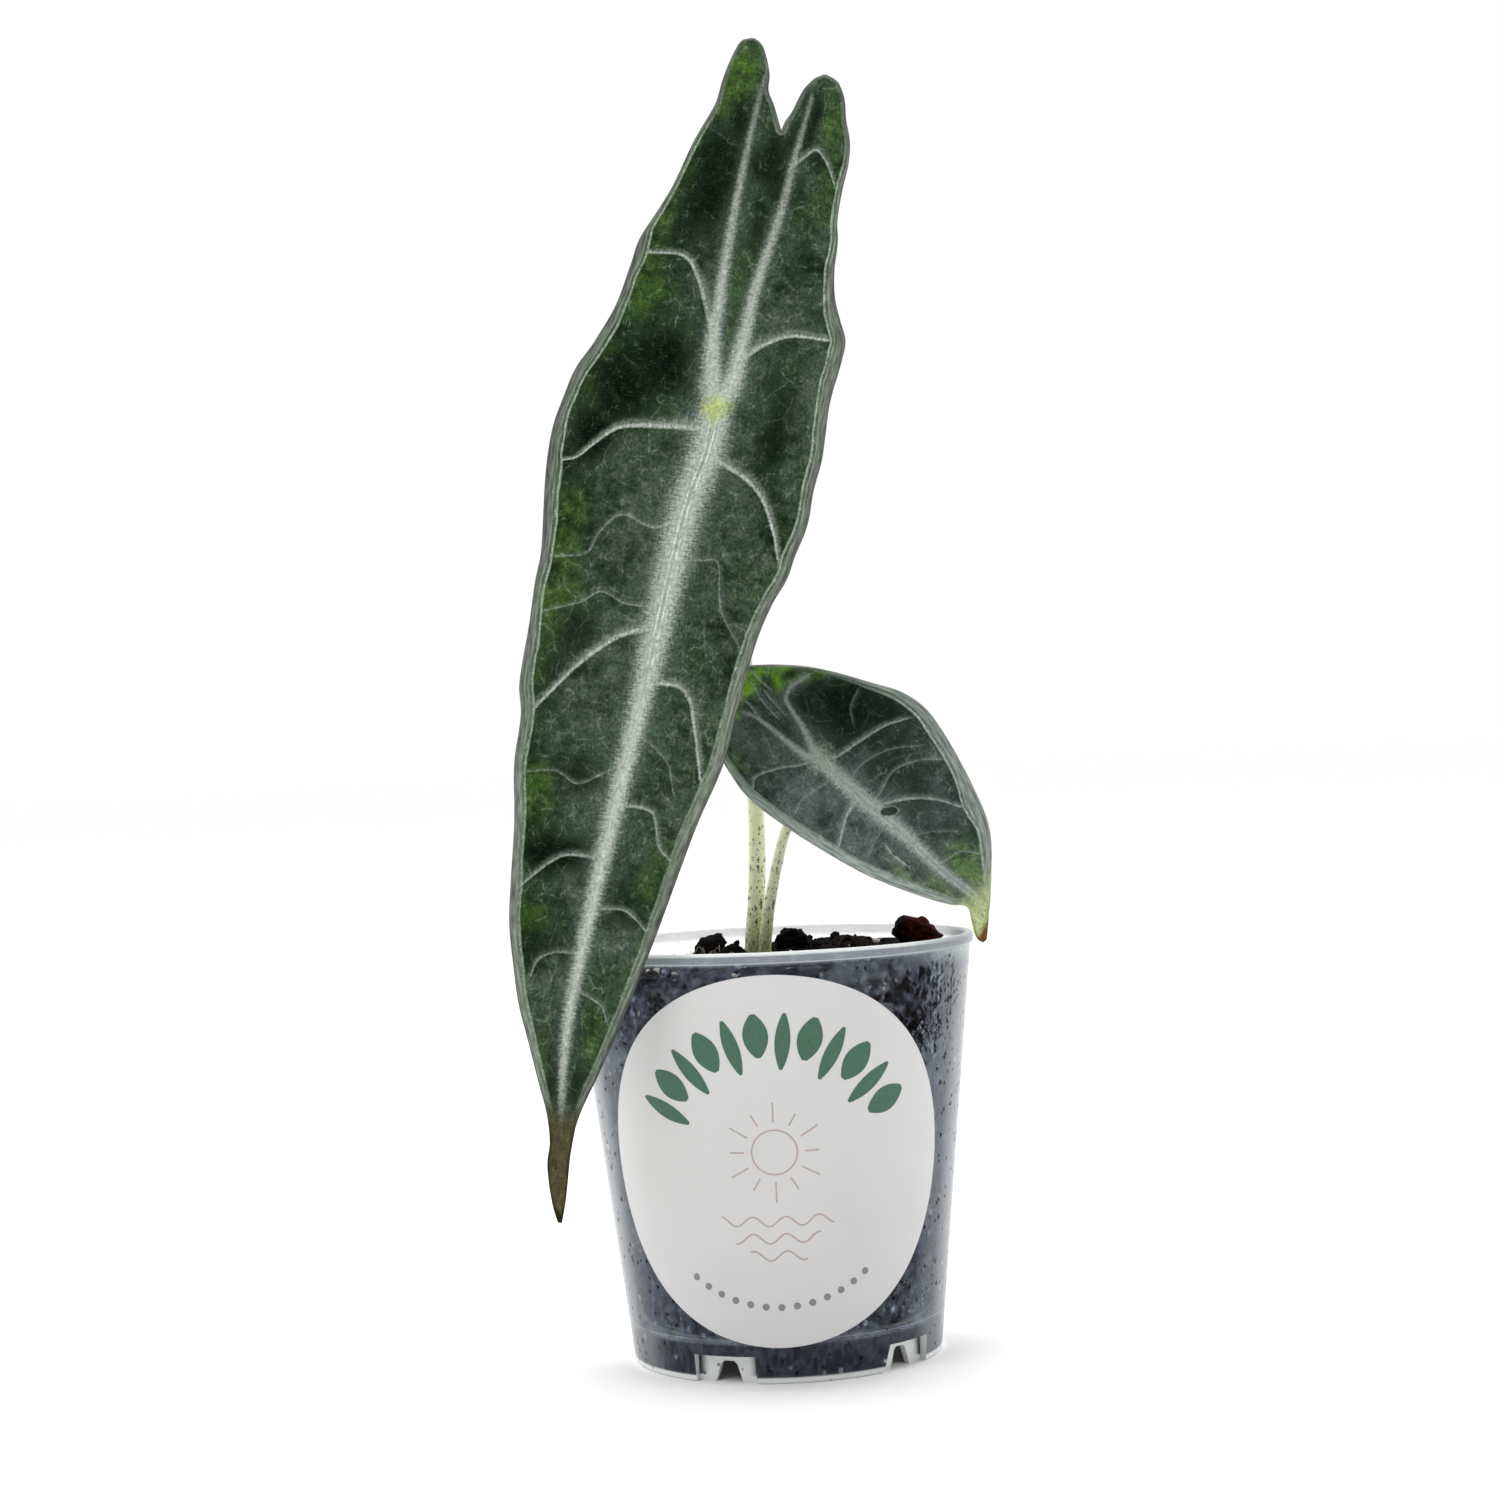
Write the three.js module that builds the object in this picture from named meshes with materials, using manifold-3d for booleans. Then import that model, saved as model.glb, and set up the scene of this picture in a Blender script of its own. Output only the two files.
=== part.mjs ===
// Young alocasia longiloba with two leaves in a clear plastic nursery pot.
// Millimetres, +Z up, front of the pot towards -Y, pot axis on the Z axis while it is built.

import * as THREE from 'three';
import { mergeVertices } from 'three/addons/utils/BufferGeometryUtils.js';
import Module from 'manifold-3d';

const wasm = await Module();
wasm.setup();

const DEGREE = Math.PI / 180;
const CLEARANCE = 0.3; // gap between pieces that touch

// Pot: a thin clear cone with a rim band and a foot skirt under its floor.
const POT = {
  height: 62,
  baseRadius: 23, // outside, at the bottom edge
  flare: 0.113, // radius gained for each millimetre of height
  wall: 0.9,
  skirtWall: 1.2,
  edge: 0.5, // rounding of the bottom edge
  rimRadius: 30.3,
  rimHeight: 1.6,
  floor: 6, // inside, above the table
  floorThickness: 1,
  floorCorner: 1.6,
  segments: 60,
};

// Drain notches: set-back panels in the skirt, each with an arched mouth, and holes in the floor.
const DRAIN = {
  count: 5,
  azimuth: -24, // first notch, degrees from the front towards +X
  width: 9.5,
  height: 4,
  setBack: 1.5,
  panel: 0.9,
  mouthFoot: 5,
  mouthTop: 2.6,
  mouthHeight: 3,
  holeRing: 14,
  holeRadius: 2.2,
  centreRadius: 2.8,
};

// Round paper label wrapped on the front of the cone.
const LABEL = { radius: 26.9, centre: 32.1, azimuth: -2, thickness: 0.3, gap: 0.35, columns: 28 };

// Soil: fills the pot to just under the rim, with a lumpy top.
const SOIL = { level: 59.4, rings: 9, segments: 40, lumps: 34, seed: 11 };

// Corm and roots: hidden in the soil below the leaf stalks.
const CORM = {
  centre: [-1.4, -0.5],
  top: 55.4,
  profile: [[3.3, 0], [4.4, 2.2], [4.6, 5.2], [3.5, 9.2], [1.6, 11.8]], // radius, depth below top
  depth: 12.4,
};
const ROOTS = { count: 5, radius: 0.85, tipRadius: 0.45, reach: 18, end: 15, steps: 6, sides: 5 };

// Bark chips: where each lies, how it is turned, and its half sizes.
const CHIPS = [
  { at: [21.8, -4.5, 62], turn: [24, 38, 20], half: [4.6, 3, 2.9] },
  { at: [3.1, 3, 61.3], turn: [10, -12, 30], half: [3.3, 2.5, 2.4] },
  { at: [-9.4, 14.5, 60.1], turn: [18, -9, 62], half: [4.6, 2.7, 1.7] },
];

// Leaf outlines are pairs [q, p]: q runs from the leaf stalk towards the drip tip, so that the
// lobes above the stalk have negative q, and p runs to the right of the midrib's start.
const LONG_LEAF = {
  joint: [-4.66, -17, 140.4],
  lean: 12.8, // degrees, tip to the left
  stalk: [0, 0.6, -0.8], // way back along the stalk from the joint
  thickness: 0.7,
  left: [
    [-56, -5.3], [-54, -6.9], [-47, -8.1], [-39, -10.5], [-24.5, -14.7], [-11, -17.9], [-1, -21.5],
    [8, -22.7], [19, -21.7], [30, -20.4], [41, -20.4], [56, -18.5], [75, -15.7], [85, -12.6],
    [94, -9], [103, -5.1], [109, -3.8], [118, -0.6],
  ],
  right: [
    [-52, 6.9], [-50.5, 9.7], [-46, 11.1], [-37, 12.5], [-24, 12.8], [-15, 15.8], [-9, 16.9],
    [4, 16.3], [13, 16], [22, 14.8], [33, 12.1], [44, 10.9], [51, 10.4], [60, 8.3], [76, 5.5],
    [88, 3.1], [96, 1.2], [103, -0.8], [108, -1.1], [118, 0.5],
  ],
  midrib: [
    [-56, 3], [-43, 1.9], [-20, 0.8], [0, 0], [16, -1.7], [41, -2.5], [60, -3.6], [75, -4.5],
    [90, -4.7], [104, -3], [118, 0],
  ],
  notch: -43,
  notchLeft: [[-56, -4.2], [-54.5, -2.2], [-48, -0.2], [-43, 1.9]],
  notchRight: [[-52, 6.1], [-50.5, 4.8], [-47, 3.6], [-43, 1.9]],
  rows: 42,
  lobeRows: 5,
  depth: longLeafDepth,
  ribs: [
    { radius: [1, 0.4], steps: 14, line: [[0, 0], [16, -1.7], [41, -2.5], [75, -4.5], [100, -3.7]] },
    { radius: [0.85, 0.35], steps: 7, line: [[0, 0], [-9.6, -2.2], [-23, -3], [-39, -2.9], [-50, -2.4]] },
    { radius: [0.85, 0.35], steps: 7, line: [[0, 0], [-11.6, 1.7], [-25, 3.4], [-38, 4.6], [-47, 5.7]] },
    { radius: [0.5, 0.3], steps: 5, line: [[-9, -2.2], [-18.4, -6.1], [-21.7, -10], [-20.5, -13.4]] },
    { radius: [0.55, 0.3], steps: 6, line: [[1.5, -0.2], [4.6, -7.6], [8.3, -15.9], [11.9, -20.2]] },
    { radius: [0.5, 0.3], steps: 6, line: [[32.5, -2.5], [35.3, -6.9], [40.8, -12.5], [47.9, -17]] },
    { radius: [0.45, 0.3], steps: 5, line: [[66, -4], [67.2, -8.9], [72.5, -14]] },
    { radius: [0.5, 0.3], steps: 5, line: [[-2.5, 0.5], [-9.4, 4.4], [-12.3, 9.2], [-12.7, 14]] },
    { radius: [0.5, 0.3], steps: 6, line: [[8, -0.9], [9.2, 4.5], [13.5, 9.7], [19.8, 12.6]] },
    { radius: [0.5, 0.3], steps: 5, line: [[41, -2.5], [42.6, 4], [53.3, 7.9]] },
    { radius: [0.45, 0.3], steps: 4, line: [[58.5, -3.5], [61.1, 2.7], [65.1, 5.2]] },
  ],
};

const SMALL_LEAF = {
  joint: [8, -12, 88.9],
  lean: -39.7, // tip to the right
  stalk: [-0.75, 0.55, -0.35],
  thickness: 0.65,
  left: [
    [-16.6, -4.6], [-15, -7.4], [-11.5, -10], [-7.6, -11], [-2.8, -11.5], [3.3, -10.5], [9.9, -8.7],
    [16.7, -6.4], [23.1, -3.3], [28, -0.2], [30, 1.2], [31.5, 0.8], [33.4, 0], [34.5, -0.3],
  ],
  right: [
    [-17, 1.6], [-14.4, 4.6], [-11.1, 7.8], [-7.2, 10.6], [-3.1, 13.1], [0.6, 15.3], [4, 16.3],
    [7.5, 16.2], [14.8, 14.6], [21.2, 12.5], [24, 11.1], [26.5, 9.1], [28.7, 7], [31.7, 3.8],
    [33.2, 2.3], [34.5, 0.6],
  ],
  midrib: [
    [-17, -1.6], [-13.4, -1.2], [0, 0], [8, 0.5], [15.9, 1.5], [24, 2.1], [29, 2.9], [32, 2.2],
    [34.5, 0.1],
  ],
  notch: -13.4,
  notchLeft: [[-16.6, -3.4], [-15, -2], [-13.4, -1.2]],
  notchRight: [[-17, 0.4], [-15.2, -0.6], [-13.4, -1.2]],
  rows: 20,
  lobeRows: 2,
  depth: smallLeafDepth,
  ribs: [
    { radius: [0.75, 0.35], steps: 7, line: [[0, 0], [11.6, 1.1], [20, 1.7], [30.5, 2.8]] },
    { radius: [0.6, 0.3], steps: 4, line: [[0, 0], [-8.5, -2.2], [-13.5, -2.9]] },
    { radius: [0.6, 0.3], steps: 4, line: [[0, 0], [-7.2, 2], [-10.4, 4.6]] },
    { radius: [0.45, 0.3], steps: 4, line: [[1, 0.3], [2.3, 6], [4.7, 14]] },
    { radius: [0.45, 0.3], steps: 4, line: [[-0.5, -0.4], [-2.9, -5.4], [-3.6, -9.4]] },
    { radius: [0.45, 0.3], steps: 4, line: [[9.5, 0.9], [9, 6.7], [12.5, 13.2]] },
    { radius: [0.45, 0.3], steps: 4, line: [[8.2, 0.5], [9.2, -3.1], [11.8, -6.4]] },
  ],
};

// Fractions of the half width at which each half of a blade is divided.
const BLADE_COLUMNS = [0, 0.1, 0.32, 0.58, 0.82, 1];

// Leaf stalks, from the corm upwards; each ends on its blade's joint.
const LONG_STALK = {
  foot: [[-2.6, 0.2, 55.7], [-2.6, 0.2, 61], [-1.75, -0.6, 70.6], [-1.4, -1.6, 81.4],
    [-1.9, -3.1, 98], [-3, -5.4, 114], [-4, -9, 127]],
  radii: [1.4, 1.2, 1.2, 1.1],
  steps: 22,
};
const SMALL_STALK = {
  foot: [[-0.9, -2.2, 55.7], [-0.9, -2.2, 61.5], [0.5, -3.2, 69.5], [2.6, -5.2, 77.4]],
  radii: [1.05, 0.85, 0.75, 0.75],
  steps: 14,
};
const STALK_SIDES = 10;
const STUB = { start: 0.8, length: 3.2 }; // stalk end that has grown into the blade

const COLOURS = {
  clearPlastic: '#c9d2d8',
  paper: '#d9d8d6',
  soil: '#1d1a1c',
  bark: '#4a2119',
  blackBark: '#171414',
  corm: '#7a5c40',
  stalk: '#c3c896',
  longBlade: '#24402b',
  smallBlade: '#38524a',
};

// Makes a repeatable random number generator from a seed.
function seededRandom(seed) {
  let state = seed;
  return () => {
    state = (state * 1664525 + 1013904223) % 4294967296;
    return state / 4294967296;
  };
}

// Reads a smooth curve through [position, value] pairs, sorted by position.
function smooth(points, position) {
  const last = points.length - 1;
  let index = 0;
  while (index < last - 1 && position > points[index + 1][0]) {
    index += 1;
  }
  const slope = (k) => {
    const before = points[Math.max(k - 1, 0)];
    const after = points[Math.min(k + 1, last)];
    return (after[1] - before[1]) / (after[0] - before[0]);
  };
  const [start, startValue] = points[index];
  const [end, endValue] = points[index + 1];
  const span = end - start;
  const t = THREE.MathUtils.clamp((position - start) / span, 0, 1);
  const startShare = (1 + 2 * t) * (1 - t) ** 2;
  const bend = t * (1 - t) * span * ((1 - t) * slope(index) - t * slope(index + 1));
  return startShare * startValue + (1 - startShare) * endValue + bend;
}

// Point at a radius and height, at an azimuth from the front towards +X.
function around(radius, azimuth, z) {
  return new THREE.Vector3(radius * Math.sin(azimuth), -radius * Math.cos(azimuth), z);
}

function potRadius(z) {
  return POT.baseRadius + POT.flare * z;
}

// Turns a closed geometry into a solid, with its faces pointing out.
function toSolid(geometry) {
  const bare = geometry.clone();
  bare.deleteAttribute('normal');
  bare.deleteAttribute('uv');
  const welded = mergeVertices(bare, 1e-4);
  const vertices = welded.attributes.position.array;
  const corner = (i) => new THREE.Vector3().fromArray(vertices, 3 * i);
  const triangles = [];
  let volume = 0;
  for (let i = 0; i < welded.index.count; i += 3) {
    const [a, b, c] = [0, 1, 2].map((k) => welded.index.getX(i + k));
    if (a !== b && b !== c && c !== a) {
      triangles.push([a, b, c]);
      volume += corner(a).dot(corner(b).cross(corner(c)));
    }
  }
  const facing = volume > 0 ? triangles : triangles.map(([a, b, c]) => [a, c, b]);
  const mesh = new wasm.Mesh({
    numProp: 3,
    vertProperties: new Float32Array(vertices),
    triVerts: new Uint32Array(facing.flat()),
  });
  return new wasm.Manifold(mesh);
}

function toGeometry(solid) {
  const mesh = solid.getMesh();
  const geometry = new THREE.BufferGeometry();
  geometry.setAttribute('position', new THREE.BufferAttribute(mesh.vertProperties, 3));
  geometry.setIndex(new THREE.BufferAttribute(mesh.triVerts, 1));
  geometry.computeVertexNormals();
  return geometry;
}

function facesGeometry(points, triangles) {
  const geometry = new THREE.BufferGeometry();
  geometry.setFromPoints(points);
  geometry.setIndex(triangles.flat());
  return geometry;
}

// Solid of revolution about the Z axis from [radius, z] pairs.
function turned(profile, segments) {
  const points = profile.map(([radius, z]) => new THREE.Vector2(radius, z));
  return toSolid(new THREE.LatheGeometry(points, segments).rotateX(Math.PI / 2));
}

// Gives an open sheet of points, with a normal at each, a thickness: both faces have the same
// triangles, and a wall runs round every free edge.
function thickSheet(points, normals, triangles, thickness) {
  const half = thickness / 2;
  const front = points.map((point, i) => point.clone().addScaledVector(normals[i], half));
  const back = points.map((point, i) => point.clone().addScaledVector(normals[i], -half));
  const offset = points.length;
  const faces = triangles.map((face) => [...face]);
  const edges = new Map();
  for (const [a, b, c] of triangles) {
    faces.push([a + offset, c + offset, b + offset]);
    for (const [from, to] of [[a, b], [b, c], [c, a]]) {
      edges.set(`${from} ${to}`, [from, to]);
    }
  }
  for (const [from, to] of edges.values()) {
    if (!edges.has(`${to} ${from}`)) {
      faces.push([from, from + offset, to], [to, from + offset, to + offset]);
    }
  }
  return toSolid(facesGeometry([...front, ...back], faces));
}

// Round closed tube along a curve, whose radius follows radiusAt from 0 to 1.
function taperedTube(curve, radiusAt, steps, sides) {
  const frames = curve.computeFrenetFrames(steps, false);
  const points = [];
  const faces = [];
  for (let i = 0; i <= steps; i += 1) {
    const centre = curve.getPointAt(i / steps);
    for (let k = 0; k < sides; k += 1) {
      const angle = (2 * Math.PI * k) / sides;
      const rim = centre.clone();
      rim.addScaledVector(frames.normals[i], radiusAt(i / steps) * Math.cos(angle));
      rim.addScaledVector(frames.binormals[i], radiusAt(i / steps) * Math.sin(angle));
      points.push(rim);
      if (i < steps) {
        const here = i * sides + k;
        const beside = i * sides + ((k + 1) % sides);
        faces.push([here, beside, here + sides], [beside, beside + sides, here + sides]);
      }
    }
  }
  const first = points.push(curve.getPointAt(0)) - 1;
  const last = points.push(curve.getPointAt(1)) - 1;
  for (let k = 0; k < sides; k += 1) {
    const next = (k + 1) % sides;
    faces.push([first, next, k], [last, steps * sides + k, steps * sides + next]);
  }
  return toSolid(facesGeometry(points, faces));
}

// Pot shell: one closed profile for rim, wall, floor and skirt.
function potShell() {
  const { height, wall, skirtWall, edge, rimRadius, rimHeight, floor, floorThickness } = POT;
  const inner = (z) => potRadius(z) - wall;
  const skirtInner = (z) => potRadius(z) - skirtWall;
  const under = floor - floorThickness;
  const rimFoot = height - rimHeight;
  const lip = 0.3;
  return turned([
    [0, under],
    [skirtInner(under), under],
    [skirtInner(0), 0],
    [potRadius(0) - edge, 0],
    [potRadius(edge), edge],
    [potRadius(rimFoot), rimFoot],
    [rimRadius, rimFoot + lip],
    [rimRadius, height - lip],
    [rimRadius - lip, height],
    [inner(height) + lip, height],
    [inner(height), height - lip],
    [inner(floor + POT.floorCorner), floor + POT.floorCorner],
    [inner(floor) - POT.floorCorner, floor],
    [0, floor],
  ], POT.segments);
}

// Full outer shape of the pot's lower end, which the notch panels are trimmed to.
function potFoot() {
  return turned([
    [0, 0],
    [potRadius(0) - POT.edge, 0],
    [potRadius(POT.edge), POT.edge],
    [potRadius(POT.floor), POT.floor],
    [0, POT.floor],
  ], POT.segments);
}

// Arched mouth of a notch, cut through its panel along the pot's radius.
function notchMouth(depth) {
  const shape = new THREE.Shape();
  shape.moveTo(-DRAIN.mouthFoot / 2, -1);
  shape.lineTo(DRAIN.mouthFoot / 2, -1);
  shape.lineTo(DRAIN.mouthTop / 2, DRAIN.mouthHeight - 0.5);
  shape.lineTo(DRAIN.mouthTop / 2 - 0.5, DRAIN.mouthHeight);
  shape.lineTo(0.5 - DRAIN.mouthTop / 2, DRAIN.mouthHeight);
  shape.lineTo(-DRAIN.mouthTop / 2, DRAIN.mouthHeight - 0.5);
  const geometry = new THREE.ExtrudeGeometry(shape, { depth, bevelEnabled: false });
  return geometry.translate(0, 0, -depth / 2).rotateX(Math.PI / 2);
}

function makePot() {
  const recessRadius = potRadius(0) - DRAIN.setBack;
  const panelRadius = recessRadius - DRAIN.panel;
  const blockDepth = 4;
  const blockWidth = DRAIN.width + 2 * DRAIN.panel;
  const foot = potFoot();
  let pot = potShell();
  for (let i = 0; i < DRAIN.count; i += 1) {
    const azimuth = DRAIN.azimuth * DEGREE + (2 * Math.PI * i) / DRAIN.count;
    const place = (geometry, radius, z) => {
      const spot = around(radius, azimuth, z);
      return toSolid(geometry.rotateZ(azimuth).translate(spot.x, spot.y, spot.z));
    };
    const block = new THREE.BoxGeometry(blockWidth, blockDepth, POT.floor);
    const panel = place(block, panelRadius + blockDepth / 2, POT.floor / 2).intersect(foot);
    const recess = new THREE.BoxGeometry(DRAIN.width, blockDepth, 2 * DRAIN.height);
    const mouth = notchMouth(2 * blockDepth);
    const hole = new THREE.CylinderGeometry(DRAIN.holeRadius, DRAIN.holeRadius, 4, 16);
    pot = pot.add(panel)
      .subtract(place(recess, recessRadius + blockDepth / 2, 0))
      .subtract(place(mouth, recessRadius, 0))
      .subtract(place(hole.rotateX(Math.PI / 2), DRAIN.holeRing, POT.floor));
  }
  const middle = new THREE.CylinderGeometry(DRAIN.centreRadius, DRAIN.centreRadius, 4, 16);
  middle.rotateX(Math.PI / 2).translate(0, 0, POT.floor);
  return toGeometry(pot.subtract(toSolid(middle)));
}

// Label: a flat disc rolled onto the cone, in upright strips. On the unrolled cone a point lies at
// its distance from the cone's apex, which is below the pot.
function makeLabel() {
  const slope = Math.atan(POT.flare);
  const apexDepth = POT.baseRadius / POT.flare;
  const middle = (LABEL.centre + apexDepth) / Math.cos(slope);
  const points = [];
  const normals = [];
  const triangles = [];
  for (let i = 0; i <= LABEL.columns; i += 1) {
    const turn = (i / LABEL.columns - 0.5) * Math.PI * 0.97;
    const across = LABEL.radius * Math.sin(turn);
    for (const up of [-LABEL.radius * Math.cos(turn), LABEL.radius * Math.cos(turn)]) {
      const azimuth = LABEL.azimuth * DEGREE + Math.atan2(across, middle + up) / Math.sin(slope);
      const z = Math.hypot(across, middle + up) * Math.cos(slope) - apexDepth;
      points.push(around(potRadius(z) + LABEL.gap + LABEL.thickness / 2, azimuth, z));
      normals.push(around(Math.cos(slope), azimuth, -Math.sin(slope)));
    }
    if (i < LABEL.columns) {
      triangles.push([2 * i, 2 * i + 2, 2 * i + 1], [2 * i + 1, 2 * i + 2, 2 * i + 3]);
    }
  }
  return toGeometry(thickSheet(points, normals, triangles, LABEL.thickness));
}

// Height of the soil: low swells with seeded round lumps on them.
function soilHeight(lumps, x, y) {
  let height = SOIL.level + 0.35 * Math.sin(0.33 * x + 1) + 0.35 * Math.cos(0.29 * y - 0.4);
  for (const lump of lumps) {
    const reach = Math.hypot(x - lump.x, y - lump.y) / lump.radius;
    height = Math.max(height, SOIL.level + lump.height * (1 - reach * reach));
  }
  return height;
}

// Soil body without the holes for the plant: bumpy top, conical side, flat bottom.
function soilBody() {
  const random = seededRandom(SOIL.seed);
  const lumps = Array.from({ length: SOIL.lumps }, () => {
    const distance = 25 * Math.sqrt(random());
    const azimuth = 2 * Math.PI * random();
    const radius = 2.5 + 3.5 * random();
    const { x, y } = around(distance, azimuth, 0);
    return { x, y, radius, height: 0.8 + 1.7 * random() };
  });
  const sideRadius = (z) => potRadius(z) - POT.wall - CLEARANCE - 0.05;
  const bottom = POT.floor + CLEARANCE;
  const shoulder = bottom + POT.floorCorner + 0.2;
  const topRadius = sideRadius(SOIL.level);
  const { rings, segments } = SOIL;
  const points = [new THREE.Vector3(0, 0, soilHeight(lumps, 0, 0))];
  const addRing = (radius, heightAt) => {
    for (let k = 0; k < segments; k += 1) {
      const spot = around(radius, (2 * Math.PI * k) / segments, 0);
      points.push(spot.setZ(heightAt(spot)));
    }
  };
  for (let ring = 1; ring <= rings; ring += 1) {
    addRing((topRadius * ring) / rings, (spot) => soilHeight(lumps, spot.x, spot.y));
  }
  addRing(sideRadius(SOIL.level - 2), () => SOIL.level - 2);
  addRing(sideRadius(shoulder), () => shoulder);
  addRing(sideRadius(shoulder) - POT.floorCorner - 0.2, () => bottom);
  const end = points.push(new THREE.Vector3(0, 0, bottom)) - 1;
  const faces = [];
  for (let k = 0; k < segments; k += 1) {
    const next = (k + 1) % segments;
    faces.push([0, 1 + k, 1 + next]);
    for (let ring = 0; ring < rings + 2; ring += 1) {
      const inner = 1 + ring * segments;
      const outer = inner + segments;
      faces.push([inner + k, outer + k, inner + next], [inner + next, outer + k, outer + next]);
    }
    const low = 1 + (rings + 2) * segments;
    faces.push([low + next, low + k, end]);
  }
  return toSolid(facesGeometry(points, faces));
}

// Corm with its main roots, all grown by an extra margin where they are cut from the soil.
function cormAndRoots(margin) {
  const [x, y] = CORM.centre;
  const profile = CORM.profile.map(([radius, down]) => [radius + margin, CORM.top - down]);
  profile[0][1] += margin;
  const top = CORM.top + margin;
  const bottom = CORM.top - CORM.depth - margin;
  let plant = turned([[0, top], ...profile, [0, bottom]], 14).translate([x, y, 0]);
  for (let i = 0; i < ROOTS.count; i += 1) {
    const azimuth = (2 * Math.PI * (i + 0.3 * Math.sin(5 * i))) / ROOTS.count;
    const reach = ROOTS.reach * (0.8 + 0.2 * Math.cos(3 * i));
    const stations = [[1.5, 45.5], [0.3 * reach, 40], [0.7 * reach, 30 - i], [reach, ROOTS.end + 2 * i]];
    const route = stations.map(([radius, z], k) => {
      const spot = around(radius, azimuth + 0.12 * k, z);
      return spot.add(new THREE.Vector3(x, y, 0));
    });
    const radiusAt = (t) => THREE.MathUtils.lerp(ROOTS.radius, ROOTS.tipRadius, t) + margin;
    const curve = new THREE.CatmullRomCurve3(route);
    plant = plant.add(taperedTube(curve, radiusAt, ROOTS.steps, ROOTS.sides));
  }
  return plant;
}

// Bark chip: a lump with twenty faces whose corners are drawn at random. Its pocket in the soil
// is the same lump, larger by the margin.
function chipGeometry(chip, index, margin) {
  const random = seededRandom(index + 3);
  const geometry = new THREE.IcosahedronGeometry(1, 0);
  geometry.deleteAttribute('normal');
  geometry.deleteAttribute('uv');
  const welded = mergeVertices(geometry, 1e-4);
  const corners = welded.attributes.position;
  for (let i = 0; i < corners.count; i += 1) {
    const size = 0.82 + 0.3 * random();
    const corner = new THREE.Vector3().fromBufferAttribute(corners, i).multiplyScalar(size);
    corner.multiply(new THREE.Vector3(...chip.half).addScalar(margin / size));
    corners.setXYZ(i, corner.x, corner.y, corner.z);
  }
  return welded;
}

function chipTurn(chip) {
  return new THREE.Euler(...chip.turn.map((angle) => angle * DEGREE));
}

function makeSoil(stalks) {
  let soil = soilBody().subtract(cormAndRoots(CLEARANCE));
  for (const stalk of stalks) {
    soil = soil.subtract(stalk.solid(CLEARANCE + 0.05));
  }
  CHIPS.forEach((chip, index) => {
    const place = new THREE.Matrix4().makeRotationFromEuler(chipTurn(chip));
    place.setPosition(...chip.at);
    const pocket = chipGeometry(chip, index, CLEARANCE + 0.1).applyMatrix4(place);
    soil = soil.subtract(toSolid(pocket));
  });
  return toGeometry(soil);
}

// The long blade falls forward from its joint and hangs; its halves arch back a little from a
// sunken midrib, and its margins wave.
function longLeafDepth(across, q, margin, side) {
  const fall = q > 0 ? -14 * (1 - (1 - q / 98) ** 2) : -0.286 * q - 0.0012 * q * q;
  const arch = (side < 0 ? 0.004 : 0.006) * across * across;
  const groove = 0.5 * Math.exp(-((across / 1.8) ** 2));
  const wave = 1.1 * margin ** 2 * Math.sin((2 * Math.PI * q) / 31 + (side < 0 ? 0.6 : 2.4));
  const fade = THREE.MathUtils.smoothstep(110 - q, 0, 25);
  return fall + arch + groove + wave * fade;
}

// The small blade leans up to the light and is folded along its midrib like a shallow boat.
function smallLeafDepth(across, q, margin, side) {
  const fall = q > 0 ? -0.48 * q + 0.003 * q * q : -0.48 * q - 0.012 * q * q;
  const fold = -0.3 * Math.sqrt(across * across + 1) + 0.3;
  const roll = 0.9 * margin ** 4;
  const wave = 0.5 * margin ** 2 * Math.sin((2 * Math.PI * q) / 17 + (side < 0 ? 0 : 1.8));
  return fall + 0.32 * across + fold + roll + wave;
}

// Point of a blade's middle surface, in the leaf's frame, from its front-view place.
function bladePoint(leaf, p, q) {
  const across = p - smooth(leaf.midrib, q);
  const side = Math.sign(across) || 1;
  const edge = smooth(side < 0 ? leaf.left : leaf.right, q) - smooth(leaf.midrib, q);
  const margin = Math.min(Math.abs(across) / Math.max(Math.abs(edge), 1), 1);
  return new THREE.Vector3(p, leaf.depth(across, q, margin, side), -q);
}

// Upper-face normal of a blade, from points a little to each side.
function bladeNormal(leaf, p, q) {
  const step = 0.25;
  const along = bladePoint(leaf, p, q + step).sub(bladePoint(leaf, p, q - step));
  const sideways = bladePoint(leaf, p + step, q).sub(bladePoint(leaf, p - step, q));
  return along.cross(sideways).normalize();
}

// Rows of one half of a blade, from the drip tip up to the top of its lobe: each row gives q and
// the p of its inner and outer ends.
function bladeRows(leaf, outline, notchSide) {
  const rows = [];
  const tip = outline.at(-1)[0];
  for (let i = 0; i <= leaf.rows; i += 1) {
    const q = THREE.MathUtils.lerp(tip, leaf.notch, i / leaf.rows);
    rows.push([q, smooth(leaf.midrib, q), smooth(outline, q)]);
  }
  for (let i = 1; i <= leaf.lobeRows; i += 1) {
    const share = Math.sin((0.5 * Math.PI * i) / leaf.lobeRows);
    const q = THREE.MathUtils.lerp(leaf.notch, outline[0][0], share);
    rows.push([q, smooth(notchSide, q), smooth(outline, q)]);
  }
  return rows;
}

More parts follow.
